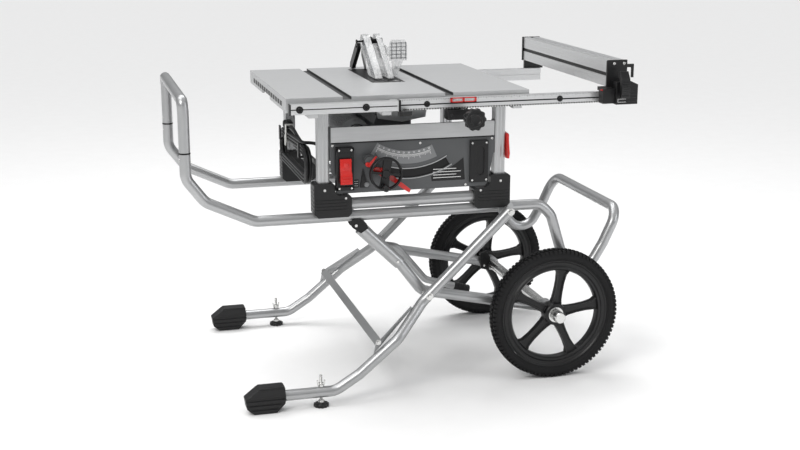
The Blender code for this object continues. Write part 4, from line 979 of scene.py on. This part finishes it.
def build_switch():
    """A framed switch well with a hooded two-step stop paddle."""
    x, (front, back), z = span("switch_box")
    case = Shape().box(x, (front + 4, back), z)
    case.border(x, (front - 0.6, front + 5), z, 6.2, 12)
    case.piece("switch_case", BLACK, "switch_box", bevel=1.4)
    paddle = Shape()
    outline = ((-304.8, 710.5), (-304.8, 640), (-311, 636.2), (-321.6, 638.5), (-320, 656), (-318.2, 668),
               (-310.8, 676.2), (-310.8, 705.5), (-308.5, 710.5))
    paddle.prism(outline, "X", 155.6, 189.4)
    for z in steps(643.5, 7, 3):
        paddle.box((160, 185), (-322.2, -319), (z, z + 2.6))
    paddle.box((166, 179), (-312.4, -310), (684, 700))
    paddle.piece("stop_paddle", RED, "switch_paddle", "switch_paddle", bevel=1.4)


def build_controls():
    wheel = Shape()
    wheel.turn("Y", SHAFT, ((41.5, -348), (43, -351.2), (46.5, -351.5), (48.5, -348), (48.8, -340),
                            (47, -334.5), (43, -335), (41.5, -340)), 72)
    wheel.spun("Y", SHAFT, ((0, -351.5), (11, -351.5), (13, -348), (13.5, -334.5), (6.3, -334.2),
                            (6.3, -159.7), (0, -159.7)))
    for degrees, half in ((82, 11), (262, 11), (172, 3), (352, 3)):
        wheel_spoke(wheel, math.radians(degrees), half)
    wheel.piece("handwheel_body", BLACK, "elevation_handwheel", "handwheel", bevel=1)
    profile = ((0, -385.8), (7, -385.8), (9.8, -382.5), (10.4, -378), (9, -370), (7.8, -362), (8.2, -356),
               (7.4, -352.5), (0, -352.5))
    Shape().spun("Y", (273, 634), profile, 40).piece("crank_grip", BLACK, "crank_knob", "crank_knob")
    dress(PANEL, "bevel_cradle")
    build_bevel_lock()
    profile = ((0, -319.5), (5, -319.5), (6.2, -318), (6.2, -316.2), (0, -316.2))
    Shape().spun("Y", (234, 694), profile, 32).piece("bevel_boss_cap", RED, body="bevel_cradle", bevel=0.8)
    profile = ((15.8, -316.6), (16.9, -316.6), (16.9, -315.8), (15.8, -315.8))
    Shape().turn("Y", (242, 701), profile).piece("bevel_boss_ring", INK_AND_SHADE, body="bevel_cradle")
    tip = about_tilt(-31.5, 206.5)
    pointer = Shape().prism(((230, 688), (240, 685), (tip[0] + 4.5, tip[1] - 1), tip), "Y", -319, -316.3)
    pointer.piece("bevel_pointer_tip", RED, body="bevel_cradle")


def build_bevel_lock():
    """The red lever that clamps the tilt, turning on the handwheel's shaft behind the wheel."""
    x, z = SHAFT
    arm = Vector((80, -63)).normalized()
    side = Vector((-arm.y, arm.x))
    outline = [tuple(Vector(SHAFT) + arm * a + side * b) for a, b in ((8, 9.5), (50, 6.2), (66, 7),
            (94, 5.8), (96, -4), (66, -6.5), (50, -6), (8, -9.5))]
    lever = Shape().prism(outline, "Y", -330, -323.2)
    lever.turn("Y", SHAFT, ((6.7, -332.2), (15.5, -332.2), (15.5, -320.8), (6.7, -320.8)))
    lever.rod("Y", (x - 22.5, z + 7.5), 10, -331, -323.2)
    lever.prism(((x - 27, z - 1), (x - 8, z - 9), (x - 4, z + 13), (x - 20, z + 17)), "Y", -329, -324)
    lever.piece("bevel_lock_handle", RED, "bevel_lock_lever", "bevel_lock_lever", bevel=1)


def wheel_spoke(wheel, angle, half):
    along = Vector((math.cos(angle), math.sin(angle)))
    side = Vector((-along.y, along.x)) * half
    wheel.prism([tuple(Vector(SHAFT) + along * reach + side * width) for reach,
                 width in ((8, 1), (43.5, 1.25), (43.5, -1.25), (8, -1))], "Y", -347, -336.5)


# ---- motor, blade and guard
def build_motor():
    dress(CASTING, "motor_unit")
    axis = (243, 752)
    rings = Shape()
    for r in steps(9, 4.8, 5):
        rings.turn("Y", axis, ((r, -147.2), (r + 2.2, -147.2), (r + 2.2, -145.5), (r, -145.5)), 48)
    rings.piece("motor_vent_rings", BLACK, body="lift_carriage")
    fins = Shape()
    for y in steps(-110, 18, 9):
        fins.turn("Y", axis, ((41, y), (44, y), (44, y + 2.8), (41, y + 2.8)), 56)
    fins.piece("motor_fins", CASTING, body="lift_carriage")
    dress(BLACK, "blade_shroud")


def build_blade():
    dress(ZINC, "blade_arbor")
    dress(BLADE, "saw_blade")
    tips = Shape()
    for angle in steps(0, math.tau / 24, 24):
        tips.prism([(98 + r * math.cos(angle + turn), 762.5 + r * math.sin(angle + turn)) for r,
                    turn in ((126.8, 0), (126.8, 0.020), (118, 0.012), (118, 0))], "X", 364.5, 367.5)
    tips.piece("carbide_tips", ZINC, body="blade")


SHIELD = ((190, 988), (189, 1002), (180, 1012.2), (166, 1016), (151, 1012.2), (-3, 908.5), (-14.2, 898.5),
          (-13.2, 895.5), (70, 895.5), (80, 898), (172, 970), (184, 977))


def build_guard():
    """Two clear ribbed side shields with turned edges, their end plate and the dark arms and pins."""
    for side, way, x, flange in (("left", -1, (340, 343), (334.5, 356.5)),
                                 ("right", 1, (389, 392), (375.5, 392.8))):
        body = f"guard_shield_{side}"
        outer = x[0] if way < 0 else x[1]
        shield = Shape().prism(SHIELD, "X", x[0] + 0.3, x[1] - 0.3)
        for a, b in zip(SHIELD, SHIELD[1:] + SHIELD[:1]):
            edge = (Vector(b) - Vector(a)).normalized() * 1.4
            inner = Vector((-edge.y, edge.x))
            shield.prism((a, b, tuple(Vector(b) + inner), tuple(Vector(a) + inner)), "X", *flange)
        shield.piece(f"clear_shield_{side}", CLEAR, body, body)
        ribs = Shape()
        for s in steps(0.12, 0.19, 5):
            ribs.tube([(outer, 3 + 66 * s, 908.5 - 9 * s), (outer, 150 + 26 * s, 1009 - 36 * s)], 1.1, 8)
        ribs.piece(f"shield_ribs_{side}", SHADED_CLEAR, body=body)
        profile = ((3.4, outer), (10.5, outer), (10, outer + way * 1.8), (3.4, outer + way * 1.8))
        Shape().spun("X", GUARD_PIN, profile, 36).piece(f"shield_boss_{side}", SHADED_CLEAR, body=body)
    dress(BLACK_COAT_AND_SHADE, "riving_knife", "guard_pivot", "kickback_pawl")
    build_guard_window()


def build_guard_window():
    window = Shape()
    outline = ((393.5, 943), (400.5, 943), (404, 896.8), (420, 896.8), (438.5, 943), (451, 943), (451, 995),
               (443, 1007.5), (401, 1007.5), (393.5, 998))
    window.prism(outline, "Y", 45.3, 47.7)
    bars = Shape()
    for z in steps(950, 11.5, 5):
        bars.box((396.5, 448), (43.8, 45.6), (z, z + 2.6))
    for x in steps(400, 15, 4):
        bars.box((x, x + 2.6), (43.6, 45.6), (948, 1000))
    bars.piece("end_plate_ribs", SHADED_CLEAR, body="bevel_cradle")
    window.box((393.7, 396.8), (47.5, 140), (955, 985))
    for y in steps(60, 16, 5):
        window.box((396.5, 398), (y, y + 2), (956, 984))
    window.piece("clear_end_plate", CLEAR, "guard_window", "bevel_cradle", bevel=0.6)


def build_push_stick():
    outline = ((-300, 700), (-296, 684.5), (-275, 683.5), (-262, 704), (-225, 728), (-60, 742),
               (-30, 726.2), (-16.5, 730.2), (-18.2, 759.8), (-240, 761.8), (-285, 757.8))
    (x0, x1), _, _ = span("push_stick")
    stick = Shape().prism(outline, "X", x0 + 0.8, x1 - 0.8)
    for i in range(5):
        y = -288 + 12 * i
        stick.box((x0, x1), (y, y + 4), (718 - 3 * i, 756))
    stick.piece("push_stick_body", RED, "push_stick", "push_stick", bevel=1.4)


# ---- mains cord
CORD_R = 5
CORD_PITCH = 10.1
HANK_X = 78
HANK_Y = 170
HANK_Z = 672
HANK_INNER = 25.5
HANK_R = HANK_INNER + CORD_R
LAYER_TURNS = 3


def lead_route():
    """From the panel's relief up and over the front hook, onto the top of the hank."""
    top = HANK_Z + HANK_INNER + 3 * CORD_PITCH + CORD_R + 0.3
    return [(150, -250, 690), (150, -228, 692), (146, -208, 703), (134, -192, 720), (114, -183, 734.5),
            (96, -168, top + 3.5), (84, -147, top + 1), (HANK_X, -120, top), (HANK_X, -100, top)]


def hank_turn(x_of, radius_of):
    """One turn of the hank: across the top towards the back, round, and home along the bottom."""
    points = []
    for i in range(9):
        s = i / 8
        points.append((x_of(s), -100 + 200 * s, HANK_Z + radius_of(s)))
    x, r = x_of(1.0), radius_of(1.0)
    for i in range(13):
        angle = math.pi / 2 - math.pi * i / 12
        points.append((x, HANK_Y + r * math.cos(angle), HANK_Z + r * math.sin(angle)))
    for y in (90, 0, -90):
        points.append((x, y, HANK_Z - r))
    for i in range(13):
        angle = -math.pi / 2 - math.pi * i / 12
        points.append((x, -HANK_Y + r * math.cos(angle), HANK_Z + r * math.sin(angle)))
    return points


def hank_route():
    """Three turns wound inwards on the first layer, then three wound outwards beside them."""
    points = []
    for turn in range(LAYER_TURNS):
        outer = HANK_R + CORD_PITCH * (LAYER_TURNS - turn)
        points += hank_turn(lambda s: HANK_X, lambda s: outer - CORD_PITCH * s)
    points += hank_turn(lambda s: HANK_X + CORD_PITCH * s, lambda s: HANK_R - 3.4 * math.sin(math.pi * s))
    for turn in range(LAYER_TURNS - 1):
        inner = HANK_R + CORD_PITCH * turn
        points += hank_turn(lambda s: HANK_X + CORD_PITCH, lambda s: inner + CORD_PITCH * s)
    return points


def tail_route():
    """From the last turn up onto the hank, to the back of the plug."""
    x = HANK_X + CORD_PITCH
    top = HANK_Z + HANK_R + CORD_PITCH * (LAYER_TURNS - 1)
    plug_z = sum(span("cord_plug")[2]) / 2
    return [(x, -120, top), (x, -80, top + 1), (x, -20, top + 8), (x, 30, plug_z - 3), (x, 70, plug_z),
            (x, 118, plug_z)]


def build_cord():
    """The whole cord in one line: strain relief, lead, wound hank and plug."""
    route = lead_route()[:-1] + hank_route() + tail_route()
    line = smooth(route, 3)
    curve = bpy.data.curves.new("mains_cord", "CURVE")
    curve.dimensions = "3D"
    curve.bevel_depth = CORD_R * MM
    curve.bevel_resolution = 4
    curve.use_fill_caps = True
    spline = curve.splines.new("POLY")
    spline.points.add(len(line) - 1)
    for point, where in zip(spline.points, line):
        point.co = (*(where * MM + ORIGIN), 1.0)
    curve.materials.append(CORD)
    cord = add_object("mains_cord", curve)
    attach(cord, ROOT)
    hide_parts("cord_coil", "cord_lead")
    plug = build_plug()
    tie = build_tie()
    relief = build_relief()


def build_plug():
    """A moulded plug with finger grips, a tapered neck, two flat pins and a round one."""
    (x0, x1), (y0, y1), (z0, z1) = span("cord_plug")
    xc, zc = (x0 + x1) / 2, (z0 + z1) / 2
    plug = Shape()
    rings = []
    for y, hx, hz in ((y0 - 1, 5.5, 5.5), (y0 + 10, 7.5, 7), (y0 + 12, 12, 10.5), (y0 + 22, 15, 13),
                      (y0 + 32, 15.5, 13.5), (y0 + 34, 14.5, 12.5)):
        rings.append([(xc + hx * squared(math.cos(a)), y, zc + hz * squared(math.sin(a)))
                      for a in (math.tau * k / 40 for k in range(40))])
    plug.loft(rings)
    for y in steps(y0 + 16, 5, 3):
        plug.box((xc - 15, xc + 15), (y, y + 1.8), (zc - 6, zc + 6))
    made = plug.piece("plug_body", RUBBER, "cord_plug")
    pins = Shape()
    for x in (-6.5, 6.5):
        pins.box((xc + x - 0.8, xc + x + 0.8), (y0 + 33, y1), (zc - 0.2, zc + 6.2))
    pins.rod("Y", (xc, zc - 6.5), 2.4, y0 + 33, y1)
    pins.piece("plug_pins", ZINC)
    return made


def squared(value):
    """Pushes a circle's sine or cosine towards a rounded square."""
    return math.copysign(abs(value) ** 0.6, value)


def build_tie():
    """A pale hook-and-loop strap round the hank's top run and the cord's tail, in front of the plug."""
    low = HANK_Z + HANK_INNER - 1.6
    high = sum(span("cord_plug")[2]) / 2 + CORD_R + 1
    x0, x1 = HANK_X - CORD_R - 0.8, HANK_X + CORD_PITCH + CORD_R + 0.8
    y = (84, 104)
    tie = Shape()
    tie.box((x0 - 1.5, x0), y, (low, high))
    tie.box((x1, x1 + 1.5), y, (low, high))
    for z in (low - 1.2, high - 0.2):
        tie.box((x0 - 1.5, x1 + 1.5), y, (z, z + 1.4))
    tie.box((x0 - 3.5, x0 - 1.5), (y[0] + 1, y[1] - 1), (low - 12, low + 20))
    return tie.piece("cord_tie", STRAP, bevel=0.5)


def build_relief():
    """A ribbed tapering sleeve where the cord leaves the back of the panel."""
    relief = Shape()
    profile = [(0, -278.6), (10, -278.6), (10, -274)]
    for i in range(7):
        y = -273.5 + 4.6 * i
        r = 8.4 - 0.4 * i
        profile += [(r, y), (r, y + 3), (r - 1.2, y + 3.2), (r - 1.2, y + 4.4)]
    profile += [(0, -241.2)]
    relief.spun("Y", (150, 690), profile, 32)
    return relief.piece("strain_relief", RUBBER)


build_camera()
build_cord()
build_studio()
build_frame_tubes()
build_outer_legs()
build_inner_legs()
build_pedal()
build_upper_brackets()
build_wheels()
build_table()
build_rails()
build_rail_drive()
build_fence()
build_body_frame()
build_front_panel()
build_controls()
build_motor()
build_blade()
build_guard()
build_push_stick()
